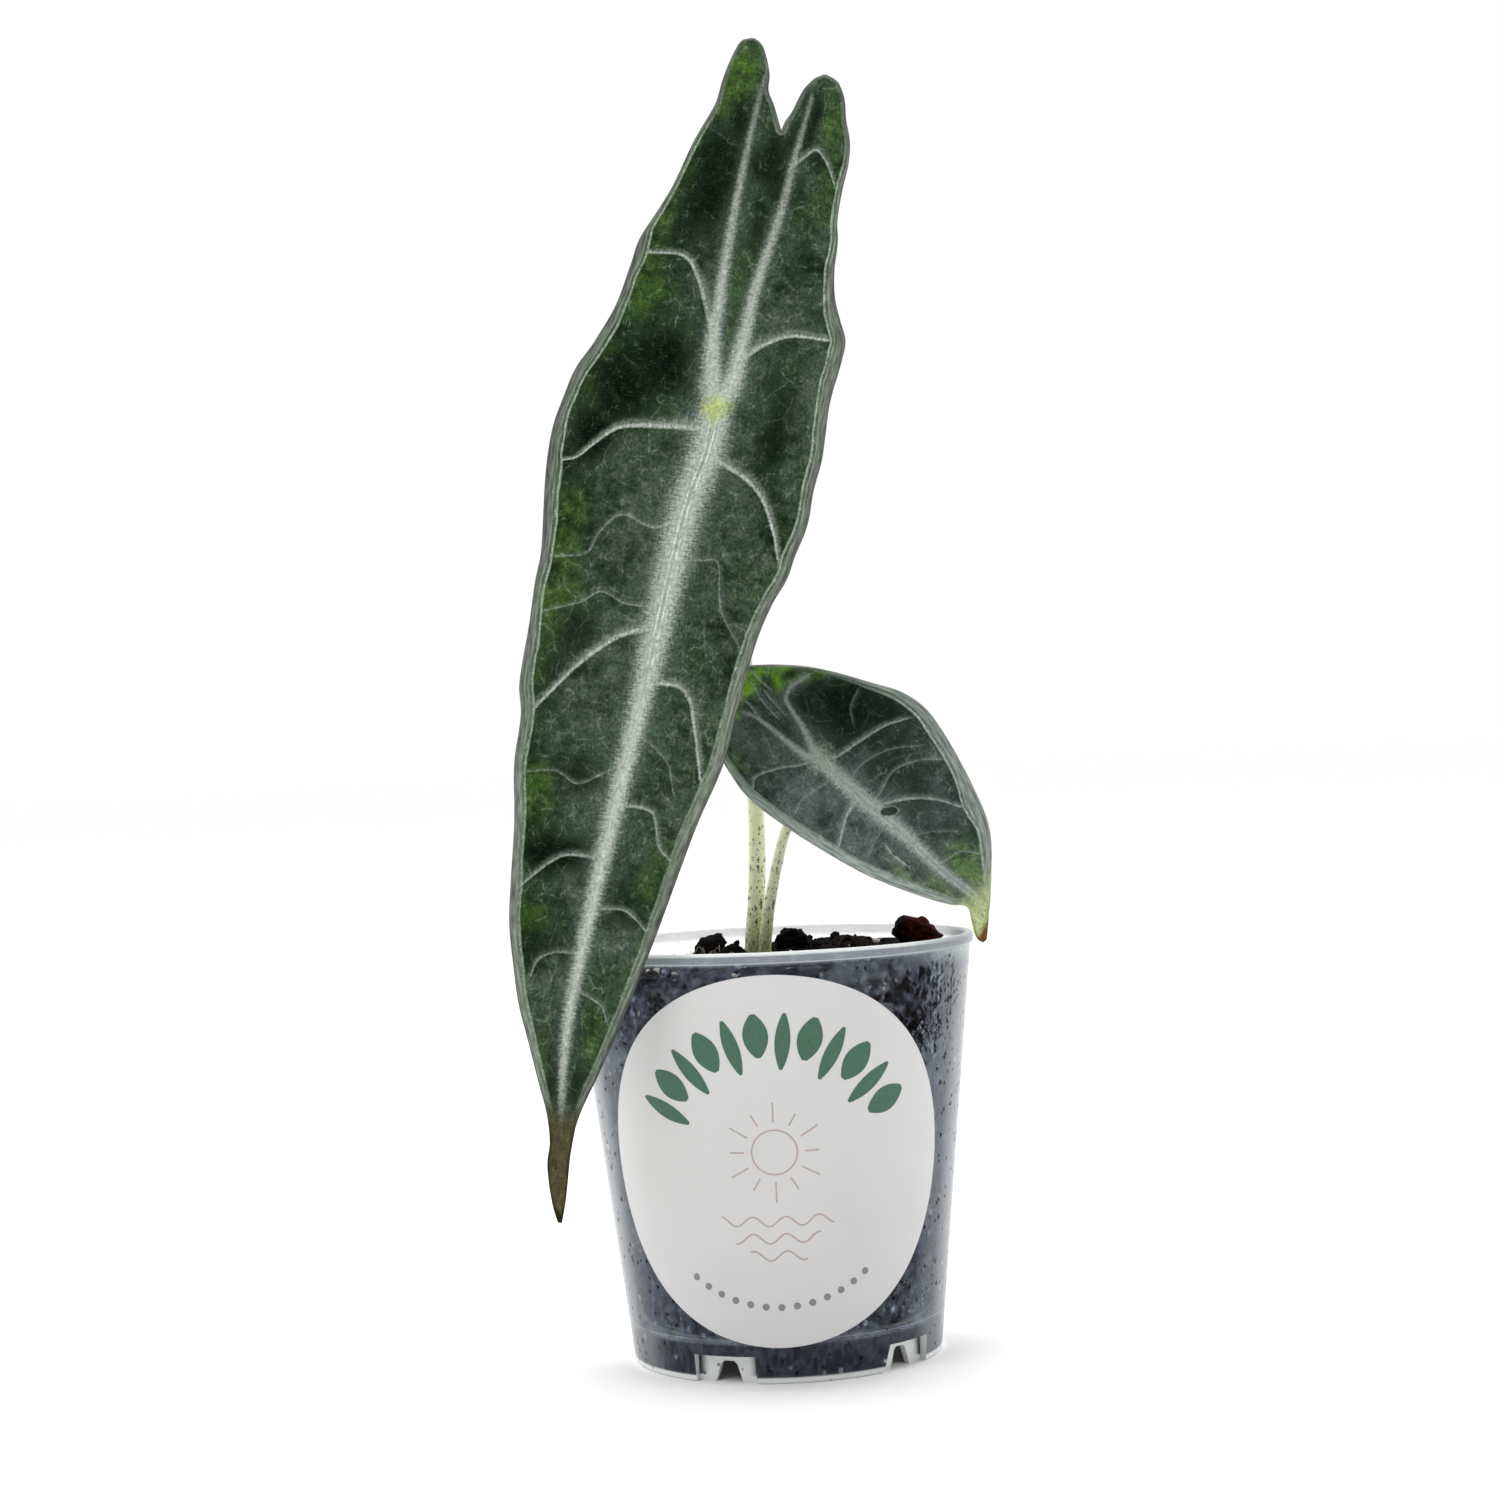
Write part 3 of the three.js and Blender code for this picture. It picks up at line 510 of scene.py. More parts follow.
def soil_height(x, y):
    """Height of the soil: sunk a little on its left, with lumps, and with one small mound."""
    sunk = min(max((2 - x) / 9, 0), 1)
    level = SOIL_LEVEL - SOIL_SINK * sunk
    high = level + 0.3 * math.sin(0.33 * x + 1) + 0.3 * math.cos(0.29 * y - 0.4)
    for lump_x, lump_y, reach, height in soil_lumps:
        share = math.hypot(x - lump_x, y - lump_y) / reach
        high = max(high, level + height * (0.5 - 0.2 * sunk) * (1 - share * share))
    share = math.hypot(x - MOUND[0], y - MOUND[1]) / MOUND_REACH
    return max(high, SOIL_LEVEL + MOUND_HEIGHT - MOUND_FALL * share * share)


def soil_side(z):
    return inner(z) - SOIL_GAP


soil_angles = np.linspace(0, 2 * np.pi, SOIL_SIDES, endpoint=False)
soil_rings = []
for share in np.linspace(0.02, 1, SOIL_TOP_RINGS):
    ring = around(soil_side(SOIL_LEVEL) * share, soil_angles, 0)
    settled = min(1, (1 - share) * 12)
    for point in ring:
        point[2] = soil_height(*point[:2]) + settled * rough((*point[:2], 3), 1.6, 0.45)
    soil_rings.append(ring)
soil_bottom = FLOOR + 0.3
shoulder = soil_bottom + FLOOR_CORNER + 0.2
for z in np.linspace(SOIL_LEVEL - 3, shoulder, SOIL_WALL_RINGS):
    ring = around(soil_side(z), soil_angles, z)
    dents = np.array([rough(point, 3.5, 0.35) for point in ring])
    ring[:, :2] *= 1 - np.maximum(dents, 0)[:, None] / 26
    soil_rings.append(ring)
soil_rings.append(around(soil_side(shoulder) - FLOOR_CORNER - 0.2, soil_angles, soil_bottom))
soil = solid("soil_mix", *skin(soil_rings), sharp=180)

work = bmesh.new()
bmesh.ops.create_icosphere(work, subdivisions=1, radius=1)
BALL = np.array([v.co for v in work.verts]), [[v.index for v in f.verts] for f in work.faces]
work.free()


def crumb(draw, middle, size):
    """Small rough lump with a random shape and turn."""
    ball, faces = BALL
    offset = Vector((draw.random() * 50, draw.random() * 50, 0))
    dents = np.array([1 + 0.35 * noise.noise(Vector(v) * 1.3 + offset) for v in ball])
    turn = Matrix.Rotation(draw.random() * 6.28, 3, (draw.random(), draw.random(), 0.3))
    flat = np.array([1, 0.55 + 0.4 * draw.random(), 0.5 + 0.35 * draw.random()])
    return (ball * dents[:, None] * flat * size) @ np.array(turn).T + middle, faces


draw = random.Random(4)
loose = []
for _ in range(CRUMBS):
    radius = 25.6 * math.sqrt(draw.random())
    x, y = around(radius, 2 * math.pi * draw.random(), 0)[:2]
    size = 0.25 + 0.85 * draw.random() ** 3
    loose.append(crumb(draw, (x, y, soil_height(x, y) + 0.1 * size), size))
crumbs = solid("soil_crumbs", *gathered(loose), sharp=50)

# Peat and bark fines, damp: nearly black brown and dull, with a few paler grains.
damp_soil, tree, shader = start_material("peat_mix_damp", {"Roughness": 0.9, "Specular IOR Level": 0.04})
spot = add(tree, "TexCoord", out="Object")
clod = noisy(spot, 3, 6, 0.65)
brown = mix(rise(clod, 0.38, 0.66), "#040303", "#1c1612")
grain = add(tree, "TexVoronoi", {"Vector": spot, "Scale": 1 / (0.9 * MM), "Randomness": 1}, out=None)
grain_pick = add(tree, "SeparateColor", {0: grain["Color"]}, out="Red")
pale = times(rise(grain_pick, 0.965, 0.98), rise(grain["Distance"], 0.42, 0.25))
coat(tree, shader, mix(pale, brown, "#7d766c"), clod, 0.4, 0.8)
for piece in (soil, crumbs):
    piece.data.materials.append(damp_soil)
    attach(piece, "root")
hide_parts("soil")

# Perlite: grains of volcanic glass, which heat has puffed up into a white froth. A few are mixed
# into the soil, and these lie on its top.
PERLITE_GRAINS = 22
grains = []
for _ in range(PERLITE_GRAINS):
    radius = 25 * math.sqrt(draw.random())
    x, y = around(radius, 2 * math.pi * draw.random(), 0)[:2]
    size = 0.35 + 0.45 * draw.random()
    grains.append(crumb(draw, (x, y, soil_height(x, y) + 0.5 * size), size))
perlite = solid("perlite_grains", *gathered(grains), sharp=50)
# Expanded perlite: chalk white with a fine froth of bubbles, dusted brown in its hollows.
white_perlite, tree, shader = start_material("perlite_expanded", {"Roughness": 0.85})
spot = add(tree, "TexCoord", out="Object")
froth = add(tree, "TexVoronoi", {"Vector": spot, "Scale": 1 / (0.3 * MM)}, out="Distance")
coat(tree, shader, mix(froth, "#8f857a", "#e4e0d8"), froth, 0.1, 0.6)
perlite.data.materials.append(white_perlite)
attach(perlite, "root")

# Bark chips: broken pieces of composted pine bark in the potting mix. Three lie loose on top: one
# shows its red-brown inner side, and the others are blackened.
CHIP_SEEDS = {"bark_chip_1": 1, "bark_chip_2": 2, "bark_chip_3": 3}


def bark_material(name, outside, inside):
    """Composted bark, broken: dull, in fine layers, its inner wood redder where it broke off."""
    made, tree, shader = start_material(name, {"Roughness": 0.8, "Specular IOR Level": 0.05})
    layers = vector_calc("MULTIPLY", add(tree, "TexCoord", out="Object"), (1, 0.5, 2.2))
    fibre = noisy(layers, 1.1, 6, 0.7)
    broken = add(tree, "Attribute", attribute_name="broken_side", out="Fac")
    contrast = rise(fibre, 0.35, 0.65)
    bark = mix(contrast, "#030202", outside)
    wood = mix(contrast, "#060202", inside)
    coat(tree, shader, mix(rise(plus(broken, fibre), 0.85, 1.1), bark, wood), fibre, 0.3, 0.9)
    return made


red_bark = bark_material("pine_bark_broken_red", "#0a0505", "#431108")
black_bark = bark_material("pine_bark_composted_black", "#060404", "#080505")
BROKEN_WAY = Vector((0.8, -0.5, 0.35)).normalized()
for name, seed in CHIP_SEEDS.items():
    work = bmesh.new()
    work.from_mesh(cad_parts[name].data)
    bmesh.ops.remove_doubles(work, verts=work.verts, dist=1e-6)
    work.normal_update()
    bmesh.ops.bevel(work, geom=work.edges[:], offset=0.18 * MM, segments=1, affect="EDGES")
    bmesh.ops.triangulate(work, faces=work.faces)
    bmesh.ops.subdivide_edges(work, edges=work.edges[:], cuts=5, use_grid_fill=True)
    work.normal_update()
    for vertex in work.verts:
        layered = Vector((vertex.co.x, vertex.co.y * 0.5, vertex.co.z * 2)) / MM
        vertex.co += vertex.normal * rough(layered + Vector((seed, 0, 0)), 1.3, 0.34) * MM
    mesh = bpy.data.meshes.new(name + "_piece")
    work.to_mesh(mesh)
    work.free()
    smooth(mesh, 30)
    broken = [max(0, vertex.normal.dot(BROKEN_WAY)) for vertex in mesh.vertices]
    mesh.attributes.new("broken_side", "FLOAT", "POINT").data.foreach_set("value", broken)
    chip = placed(name + "_piece", mesh)
    chip.data.materials.append(red_bark if seed == 1 else black_bark)
    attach(chip, "root")
    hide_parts(name)

# Corm with its main roots: the plant's underground stem, buried below the leaf stalks. It keeps
# the shape that the frame gives it, because the soil hides it.
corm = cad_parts["corm_and_roots"]
# Corm skin, grown: dull brown with fibrous bands round it.
corm_skin, tree, shader = start_material("corm_grown_fibrous", {"Roughness": 0.75})
banded = vector_calc("MULTIPLY", add(tree, "TexCoord", out="Object"), (0.4, 0.4, 2))
fibre = noisy(banded, 0.8, 5)
coat(tree, shader, mix(fibre, "#5a3f2a", "#a88a62"), fibre, 0.2, 0.5)
corm.data.materials.clear()
corm.data.materials.append(corm_skin)

# Leaf stalks: two juicy green petioles from the corm, the younger one in front. Each runs up
# behind its blade and swells where it has grown into the blade's back.
LONG_JOINT = np.array([-4.66, -17, 140.4])
LONG_LEAN = 12.8  # degrees, tip to the left
LONG_WAY = np.array([0, 0.6, -0.8])  # back along the stalk from the joint, in the leaf's frame
SMALL_JOINT = np.array([8, -12, 88.9])
SMALL_LEAN = -39.7  # tip to the right
SMALL_WAY = np.array([-0.75, 0.55, -0.35])
LONG_FOOT = [(-2.6, 0.2, 57), (-2.6, 0.2, 61), (-1.75, -0.6, 70.6), (-1.4, -1.6, 81.4),
             (-1.9, -3.1, 98), (-3, -5.4, 114), (-4, -9, 127)]
SMALL_FOOT = [(-0.9, -2.2, 57), (-0.9, -2.2, 61.5), (0.5, -3.2, 69.5), (2.6, -5.2, 77.4)]
LONG_STALK_RADII = [(0, 1.4), (0.33, 1.2), (0.66, 1.2), (0.9, 1.1), (1, 1.3)]
SMALL_STALK_RADII = [(0, 1.05), (0.33, 0.85), (0.66, 0.75), (0.9, 0.75), (1, 0.95)]
STALK_SIDES = 28
STALK_STEP = 0.5


def through(points, at):
    """Smooth curve through pairs of position and value, read at an array of positions."""
    knots, values = np.array(points, float).T
    order = np.arange(len(knots))
    before, after = np.maximum(order - 1, 0), np.minimum(order + 1, len(knots) - 1)
    slopes = (values[after] - values[before]) / (knots[after] - knots[before])
    i = np.clip(np.searchsorted(knots, at) - 1, 0, len(knots) - 2)
    span = knots[i + 1] - knots[i]
    t = np.clip((at - knots[i]) / span, 0, 1)
    start = (1 + 2 * t) * (1 - t) ** 2
    bend = t * (1 - t) * span * ((1 - t) * slopes[i] - t * slopes[i + 1])
    return start * values[i] + (1 - start) * values[i + 1] + bend


def flowing(points, step):
    """Points at even steps along the smooth line through a few points."""
    points = np.array(points, float)
    lengths = np.r_[0, np.cumsum(np.linalg.norm(np.diff(points, axis=0), axis=1))]
    at = np.linspace(0, lengths[-1], max(int(lengths[-1] / step), 2) + 1)
    return np.column_stack([through(np.column_stack([lengths, line]), at) for line in points.T])


def from_leaf(points, joint, lean):
    """Points of a leaf's own frame, leant over and moved to its joint."""
    turn = np.array(Matrix.Rotation(math.radians(lean), 3, "Y"))
    return np.asarray(points) @ turn.T + joint


def tube(line, radii, sides):
    """Round skin along a line of points, with a radius at each."""
    ways = np.gradient(line, axis=0)
    ways /= np.linalg.norm(ways, axis=1)[:, None]
    sideways = Vector((1, 0, 0))
    rings = []
    for point, way, radius in zip(line, ways, radii):
        way = Vector(way)
        sideways = (sideways - way * sideways.dot(way)).normalized()
        upward = way.cross(sideways)
        angles = np.linspace(0, 2 * np.pi, sides, endpoint=False)[:, None]
        rim = np.cos(angles) * np.array(sideways) + np.sin(angles) * np.array(upward)
        rings.append(point + radius * rim)
    return rings


def keep(piece, name, values):
    """Keeps three values at each point of a piece for its material."""
    attribute = piece.data.attributes.new(name, "FLOAT_VECTOR", "POINT")
    attribute.data.foreach_set("vector", values.ravel())


def stalk(name, foot, radii, joint, lean, way):
    """Leaf stalk with its length and girth kept at each point for its material."""
    way = way / np.linalg.norm(way)
    top = from_leaf([way * reach for reach in (8.32, 3.5, 1.4)], joint, lean)
    line = flowing([*foot, *top], STALK_STEP)
    share = np.linspace(0, 1, len(line))
    girth = through(radii, share) * (1 + 0.02 * np.sin(40 * share))
    rings = tube(line, girth, STALK_SIDES)
    made = solid(name, *skin(rings), sharp=60)
    place = np.zeros((len(made.data.vertices), 3), np.float32)
    run = np.repeat(np.arange(len(line)) * STALK_STEP, STALK_SIDES)
    turn = np.tile(np.linspace(0, 2 * np.pi, STALK_SIDES, endpoint=False), len(line))
    place[:len(run)] = np.column_stack([run, np.cos(turn), np.sin(turn)])
    place[len(run):, 0] = [0, run[-1]]
    keep(made, "stalk_place", place)
    return made


# Petiole skin: waxy pale yellow-green, with dark olive-brown flecks drawn out along it, which
# are close together at the foot and few higher up.
petiole_skin, tree, shader = start_material("petiole_grown_flecked", {
    "Roughness": 0.42, "IOR": 1.43, "Specular IOR Level": 0.4,
})
place = add(tree, "Attribute", attribute_name="stalk_place", out="Vector")
run = add(tree, "SeparateXYZ", {0: place}, out="X")
tint = add(tree, "TexNoise", {"Vector": place, "Scale": 0.6, "Detail": 3})
flesh = mix(tint, "#e6eab8", "#fbfce4")
flesh = mix(rise(run, 20, 60, 0.6), flesh, "#8fa05c")
ragged = add(tree, "TexNoise", {"Vector": place, "Scale": 3.5, "Detail": 2}, out="Color")
rough_place = vector_calc("ADD", place, vector_calc("MULTIPLY", ragged, (0.9, 0.35, 0.35)))
# Flecks as their size, reach in a cell, and the chance they miss at the foot and higher up.
for size, reach, first, last in (
    (1.5, 0.34, 0.05, 0.72),
    (0.8, 0.36, 0.2, 0.86),
    (0.45, 0.38, 0.4, 0.92),
):
    drawn = vector_calc("MULTIPLY", rough_place, (1 / size, 2.6 / size, 2.6 / size))
    cell = add(tree, "TexVoronoi", {"Vector": drawn, "Scale": 1, "Randomness": 1}, out=None)
    chance = add(tree, "SeparateColor", {0: cell["Color"]}, out="Red")
    picked = calc("GREATER_THAN", chance, rise(run, 4, 22, last, first))
    fleck = times(rise(cell["Distance"], reach, reach * 0.6, 0.9), picked)
    flesh = mix(fleck, flesh, "#3d3217")
flesh = mix(rise(run, 10, 3.5, 0.6), flesh, "#98985a")
tree.links.new(flesh, shader.inputs["Base Color"])

long_stalk = stalk("long_leaf_stalk", LONG_FOOT, LONG_STALK_RADII, LONG_JOINT, LONG_LEAN, LONG_WAY)
small_stalk = stalk("small_leaf_stalk", SMALL_FOOT, SMALL_STALK_RADII, SMALL_JOINT, SMALL_LEAN, SMALL_WAY)
for piece, node in ((long_stalk, "petiole_long_leaf"), (small_stalk, "petiole_small_leaf")):
    piece.data.materials.append(petiole_skin)
    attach(piece, "root")
    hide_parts(node)

# Long blade: the older leaf, dark green and arrow shaped, grown on its stalk and hanging down to a
# drip tip. All its lines are drawn in millimetres, q down from the joint and p to the right of it.
LONG_LEAF = {
    "joint": LONG_JOINT,
    "lean": LONG_LEAN,
    # Margins, midrib and the notch between the lobes, as (q, p).
    "left": [(-56.4, -4.9), (-55.8, -6.3), (-54.4, -7), (-51.5, -7.7), (-48.5, -8.1), (-45, -8.4),
             (-39, -10.4), (-32, -12.3), (-28.5, -13.6), (-23, -15.7), (-18.8, -16.2), (-12.2, -17.1),
             (-6, -19.2), (-2, -21.1), (1.5, -21.9), (7, -22.7), (13, -22.4), (21.8, -21.1),
             (26, -20.6), (30, -20.7), (36, -20.4), (44.8, -20), (49, -18.9), (56, -18.5), (64, -17.1),
             (72.8, -15.9), (78, -15), (83.5, -13.4), (88.8, -11.7), (94, -9.4), (99.2, -7),
             (103, -5.2), (107, -4), (110, -3.8), (113, -3), (116, -1.9), (118, -0.9)],
    "right": [(-52.3, 7), (-51.9, 8.3), (-51.2, 9.2), (-49.2, 10.3), (-46.2, 11.1), (-43.2, 12.2),
              (-40, 12.6), (-36, 12.4), (-31, 12.5), (-27.8, 13.1), (-23, 13.4), (-19, 14.2),
              (-16, 15.5), (-13.2, 16.8), (-10.2, 16.8), (-4, 16.2), (0, 16.3), (5, 16.5), (10, 16.1),
              (15, 16.1), (20, 15.1), (23.2, 14.6), (27, 13.2), (33, 11.9), (44, 10.9), (51, 10.4),
              (60, 8.3), (76, 5.5), (88, 3.1), (96, 1.2), (103, -0.6), (108, -0.8), (112, -0.5),
              (115, -0.3), (118, -0.3)],
    "midrib": [(-56, 3), (-43, 1.9), (-20, 0.8), (0, 0), (7, -0.1), (16, -1.5), (41, -2.5), (60, -3.5),
               (75, -4.2), (90, -4.5), (104, -3), (118, -0.6)],
    "notch": -43,
    "notch_left": [(-56.4, -4.6), (-55.6, -3.4), (-54.2, -2.5), (-51, -1.3), (-48.5, -1), (-46.5, 0.2),
                   (-43, 1.9)],
    "notch_right": [(-52.3, 6.6), (-51.7, 5.5), (-50.9, 4.8), (-49.6, 4), (-46, 2.9), (-44.4, 2.2),
                    (-43, 1.9)],
    "rows": 360,
    "lobe_rows": 34,
    "columns": 50,
    # Ribs of the two lobes, from the joint up, as (p, q).
    "lobe_left": [(0, 0), (-1, -2.6), (-2.2, -9.6), (-2.4, -15.5), (-2.7, -26), (-2.5, -39.3),
                  (-2, -50.5)],
    "lobe_right": [(0, 0), (1.5, -3), (2, -8.5), (2.5, -18.4), (4.2, -31.8), (4.6, -39), (5.5, -48.5)],
    # Half width of the silver band along the ribs, at each q.
    "band": [(-52, 0.3), (-45, 0.4), (-30, 0.65), (-15, 0.95), (-5, 1.4), (3, 2.2), (10, 2.3),
             (36, 1.9), (46, 1.45), (61, 1.3), (73, 1.05), (84, 0.9), (96, 0.65), (104, 0.45),
             (118, 0.3)],
    # Strength of the silver at each q.
    "silver": [(-52, 0.18), (-44, 0.3), (-36, 0.42), (-28, 0.54), (-20, 0.66), (-12, 0.78), (0, 1),
               (85, 1), (94, 0.8), (102, 0.5), (110, 0.1)],
    "rib_height": [(-52, 0.3), (-8, 0.8), (2, 1.15), (40, 0.9), (90, 0.5), (118, 0.25)],
    # Side veins: width where they leave the rib and where they end, strength, and their way as
    # (p, q). The weak ones are tertiary loops.
    "veins": [
        (0.6, 0.3, 0.7, [(-2.5, -10.2), (-3.9, -13.7), (-6.1, -18.4), (-8.6, -21.3), (-13.7, -21.1)]),
        (0.8, 0.18, 0.85, [(-0.5, 3.6), (-2.1, 3.9), (-7.6, 4.6), (-13, 5.7), (-15.9, 8.3), (-18.3, 11.1),
                          (-20.2, 11.9)]),
        (0.65, 0.3, 0.8, [(-3, 33.6), (-6.9, 35.3), (-9.7, 37.7), (-12.5, 40.8), (-14.8, 44.1),
                          (-17.6, 48.4)]),
        (0.4, 0.25, 0.5, [(-4.5, 66.8), (-8.9, 67.2), (-11.1, 68.7), (-14.6, 72.7)]),
        (0.4, 0.2, 0.32, [(-4.8, 80.6), (-7.8, 80.7), (-10.1, 82.2), (-10.7, 84.6)]),
        (0.45, 0.25, 0.5, [(4.6, -37.8), (6.1, -39.5), (7.5, -40.9), (9.4, -39.3), (11, -36.5)]),
        (0.65, 0.35, 0.8, [(1.2, -3.3), (2.3, -6.7), (4.4, -9.4), (6.7, -11.2), (9.2, -12.3), (14.2, -12.7)]),
        (0.7, 0.3, 0.8, [(-0.7, 8.7), (1.3, 8.3), (4.5, 9.2), (7.8, 11.2), (9.7, 13.5), (11.5, 17),
                         (12.7, 20.4)]),
        (0.55, 0.3, 0.7, [(-2.4, 41.5), (1.8, 41.1), (4, 42.6), (5.3, 46), (6.7, 50.5), (7.6, 53.6)]),
        (0.4, 0.25, 0.45, [(-2.8, 59), (1.6, 59.1), (2.7, 61.1), (3.6, 63.8), (5.3, 65.3)]),
        (0.4, 0.2, 0.4, [(-4.3, 74), (0.2, 73.3), (2.2, 74.2), (4.1, 75.8)]),
        (0.35, 0.2, 0.3, [(-4.3, 85.5), (-0.5, 86.9), (0.9, 89.2)]),
        (0.3, 0.2, 0.26, [(-1.7, 16.1), (-5.1, 19.4), (-10.3, 18.4), (-12.9, 21.5), (-14.1, 24.7),
                          (-18.6, 26)]),
        (0.3, 0.2, 0.26, [(-2.7, 30.5), (-7.4, 30.9), (-11, 29.8), (-13.5, 31.7), (-18.4, 33.8)]),
        (0.3, 0.2, 0.22, [(-2.8, 52.9), (-6.4, 55.4), (-9.3, 57.1), (-12.5, 55.9), (-16.4, 56.7)]),
        (0.3, 0.2, 0.22, [(-2, 23.5), (2.2, 22.9), (4.3, 22.5), (5.6, 27.5), (6.4, 29.9), (9.2, 33.6)]),
        (0.3, 0.2, 0.22, [(-2.1, 48.9), (0.5, 50.3), (2.8, 52.3), (4.2, 56)]),
    ],
    "strong": 0.5,  # veins at least this strong press the blade into pillows
    # Soft patches as (p, q, reach across, reach along, strength): waxy grey with painted sheen,
    # yellow-green young tissue, and painted shade where the blade turns away from the light.
    "bloom_and_sheen": [(-7, 19.5, 8, 11, 1), (-9, 10, 7, 5, 0.8), (-5.6, -19.5, 2.6, 4, 0.8),
              (9, -15.5, 5, 5.5, 1), (4.6, -7, 3, 3, 0.6), (4.6, 18, 5, 12, 0.8), (6, 6, 3, 5, 0.6),
              (-9.8, 44, 5.4, 8, 1), (-8.4, 35, 3.6, 4.4, 0.9), (-6.4, 71, 4.4, 4, 0.9),
              (-8, 85.5, 4, 4, 0.9), (6, 46, 5, 9, 0.9), (1.6, 78.5, 3.4, 4.5, 0.9),
              (-8.5, 59, 5, 5, 0.8), (8.4, 30, 4.6, 9, 1), (4.4, 59, 3.6, 8, 0.9),
              (13.2, -3, 3, 10, 1.1), (13.6, 8, 2.6, 8, 0.9), (11.4, -26, 2, 5, 0.8),
              (9.4, 40, 2.4, 8, 1), (-13.4, 52, 2, 5, 0.7), (-8.4, 89.5, 1.6, 3, 0.8),
              (11.4, 20.5, 2.4, 3.4, 1.2), (9.6, 46, 2, 6, 1.3), (8.4, 38, 2, 4, 0.9),
              (14.4, 4.5, 2, 4, 1.1), (14.2, -9, 1.8, 4, 0.9), (1.6, 67, 2, 3.4, 0.8),
              (4.2, 82.5, 2, 4, 0.9), (-4, 4.6, 1.6, 3, 1.2), (-7, 35.6, 2.2, 4, 1.2)],
    "fresh_and_glow": [(-5.6, -50.5, 3, 5, 1.7), (-7.2, -45.5, 2, 3, 0.9), (-9.8, -37.5, 1.2, 5, 0.6),
              (-12.4, -28.5, 1.6, 5, 0.7), (-14.4, -19.5, 2.2, 4.5, 0.8), (-13, -14.5, 4, 4, 0.7),
              (-17.4, -6, 1.8, 4, 0.7), (-19.4, 1, 1.4, 3, 0.5), (9.3, -46.5, 2, 4.4, 0.9),
              (10.6, -37, 1.6, 4, 0.8), (9.4, -31, 2.6, 4, 0.5), (-0.2, -19, 2, 7, 0.6),
              (0, -10, 1.2, 5, 0.6), (-5.8, -7.5, 1.6, 4, 0.3), (-17.6, 21.5, 2.8, 6, 1.1),
              (-17, 31, 2.6, 5, 1), (-17.4, 41, 1.6, 5, 0.5), (-14.6, 60.5, 2.8, 5.5, 1),
              (-12.6, 76.5, 2.4, 3.4, 0.8), (13.6, 4, 1.2, 6, 0.3), (12.6, 19, 1.6, 6, 0.4),
              (9, 26, 2.4, 5, 0.3), (7.6, 50, 1.8, 7, 0.4), (5, 64.5, 2.8, 4, 0.55),
              (2.2, 69, 2, 3, 0.7), (3, 81.5, 1.6, 4, 0.4), (-0.8, 90.5, 2, 6, 0.7),
              (-7.4, 95, 1.6, 5, 0.5)],
    "painted_shade": [(-6.6, -33, 3.8, 10, 1), (-9.4, -25, 2, 4, 0.6), (-4.6, -43, 2, 4, 1),
             (1.8, -38, 3, 6, 0.8), (1.4, -27, 1.4, 5, 0.6), (6.2, -45.5, 1.4, 4, 1),
             (8.2, -24, 2.4, 3, 0.2), (-14, 0.2, 5, 5.6, 1.2), (-8.4, -5.4, 5, 5, 1.15),
             (-16.6, 7.6, 3.8, 4.4, 1.3), (-20, 12, 1.6, 4, 0.7), (9.4, 2.5, 2, 8, 0.75),
             (11, 13, 1.6, 4, 0.35), (7, -4.6, 2, 2.2, 0.5), (-13.4, 36, 3.2, 3.4, 0.7),
             (-15.6, 42.4, 2.4, 3, 0.5), (-9.6, 55.8, 4, 2.2, 0.7), (-11, 67.2, 5.6, 2.8, 1.3),
             (-11.8, 80.6, 2.8, 3.6, 0.6), (-8.6, 79.4, 3, 1.8, 0.6), (0.8, 70.4, 2.2, 2.8, 0.45),
             (0.8, 75, 3, 1.4, 0.35), (-6.4, 92.5, 1.8, 3, 0.5), (-1.6, 100, 1.4, 4, 0.6),
             (-4.6, 99, 1, 4, 0.6)],
    # Grey rim at each q: how wide it is and how pale, on the left and on the right.
    "rim_left": [(-56, 0.55), (-44, 0.7), (-32, 0.65), (-25, 0.95), (-21, 1.9), (-16.5, 1.4), (-5, 1.8),
                 (6, 1.75), (13, 2.2), (30, 1.5), (42, 1.8), (60, 1.6), (80, 1.4), (96, 1.1),
                 (106, 0.7), (118, 0.5)],
    "rim_right": [(-52, 0.55), (-44, 0.7), (-26, 1.1), (-14, 2.1), (-8, 2.2), (4, 1.7), (20, 1.6),
                  (45, 1.8), (62, 1.8), (80, 1.4), (96, 1.1), (106, 0.7), (118, 0.5)],
    "pale_left": [(-56, 0.1), (-20, 0.2), (20, 0.3), (50, 0.6), (75, 0.9), (95, 1), (106, 0.5),
                  (118, 0)],
    "pale_right": [(-52, 0.1), (-12, 0.45), (20, 0.4), (34, 0.7), (44, 1.1), (58, 1), (75, 0.6),
                   (95, 0.5), (106, 0.3), (118, 0)],
    # Dark outer part of the rim, and the pale line inside it, at each q.
    "dark_left": [(-56, 0.5), (0, 0.3), (12, 0.55), (24, 0.3), (50, 0.15), (100, 0.3), (118, 1)],
    "dark_right": [(-52, 0.5), (-14, 0.2), (25, 0.35), (40, 0.3), (56, 0.5), (80, 0.75), (118, 1)],
    "line_left": [(-56, 0), (-47, 0.2), (-38, 0.8), (30, 1), (60, 0.7), (95, 0.6), (106, 0)],
    "line_right": [(-52, 0), (-44, 0.3), (-36, 0.8), (-10, 1), (30, 0.9), (60, 0.5), (90, 0.6),
                   (106, 0)],
    "tip_start": 99.5,
    "tip_end": 118,
    "hurt": [],
}


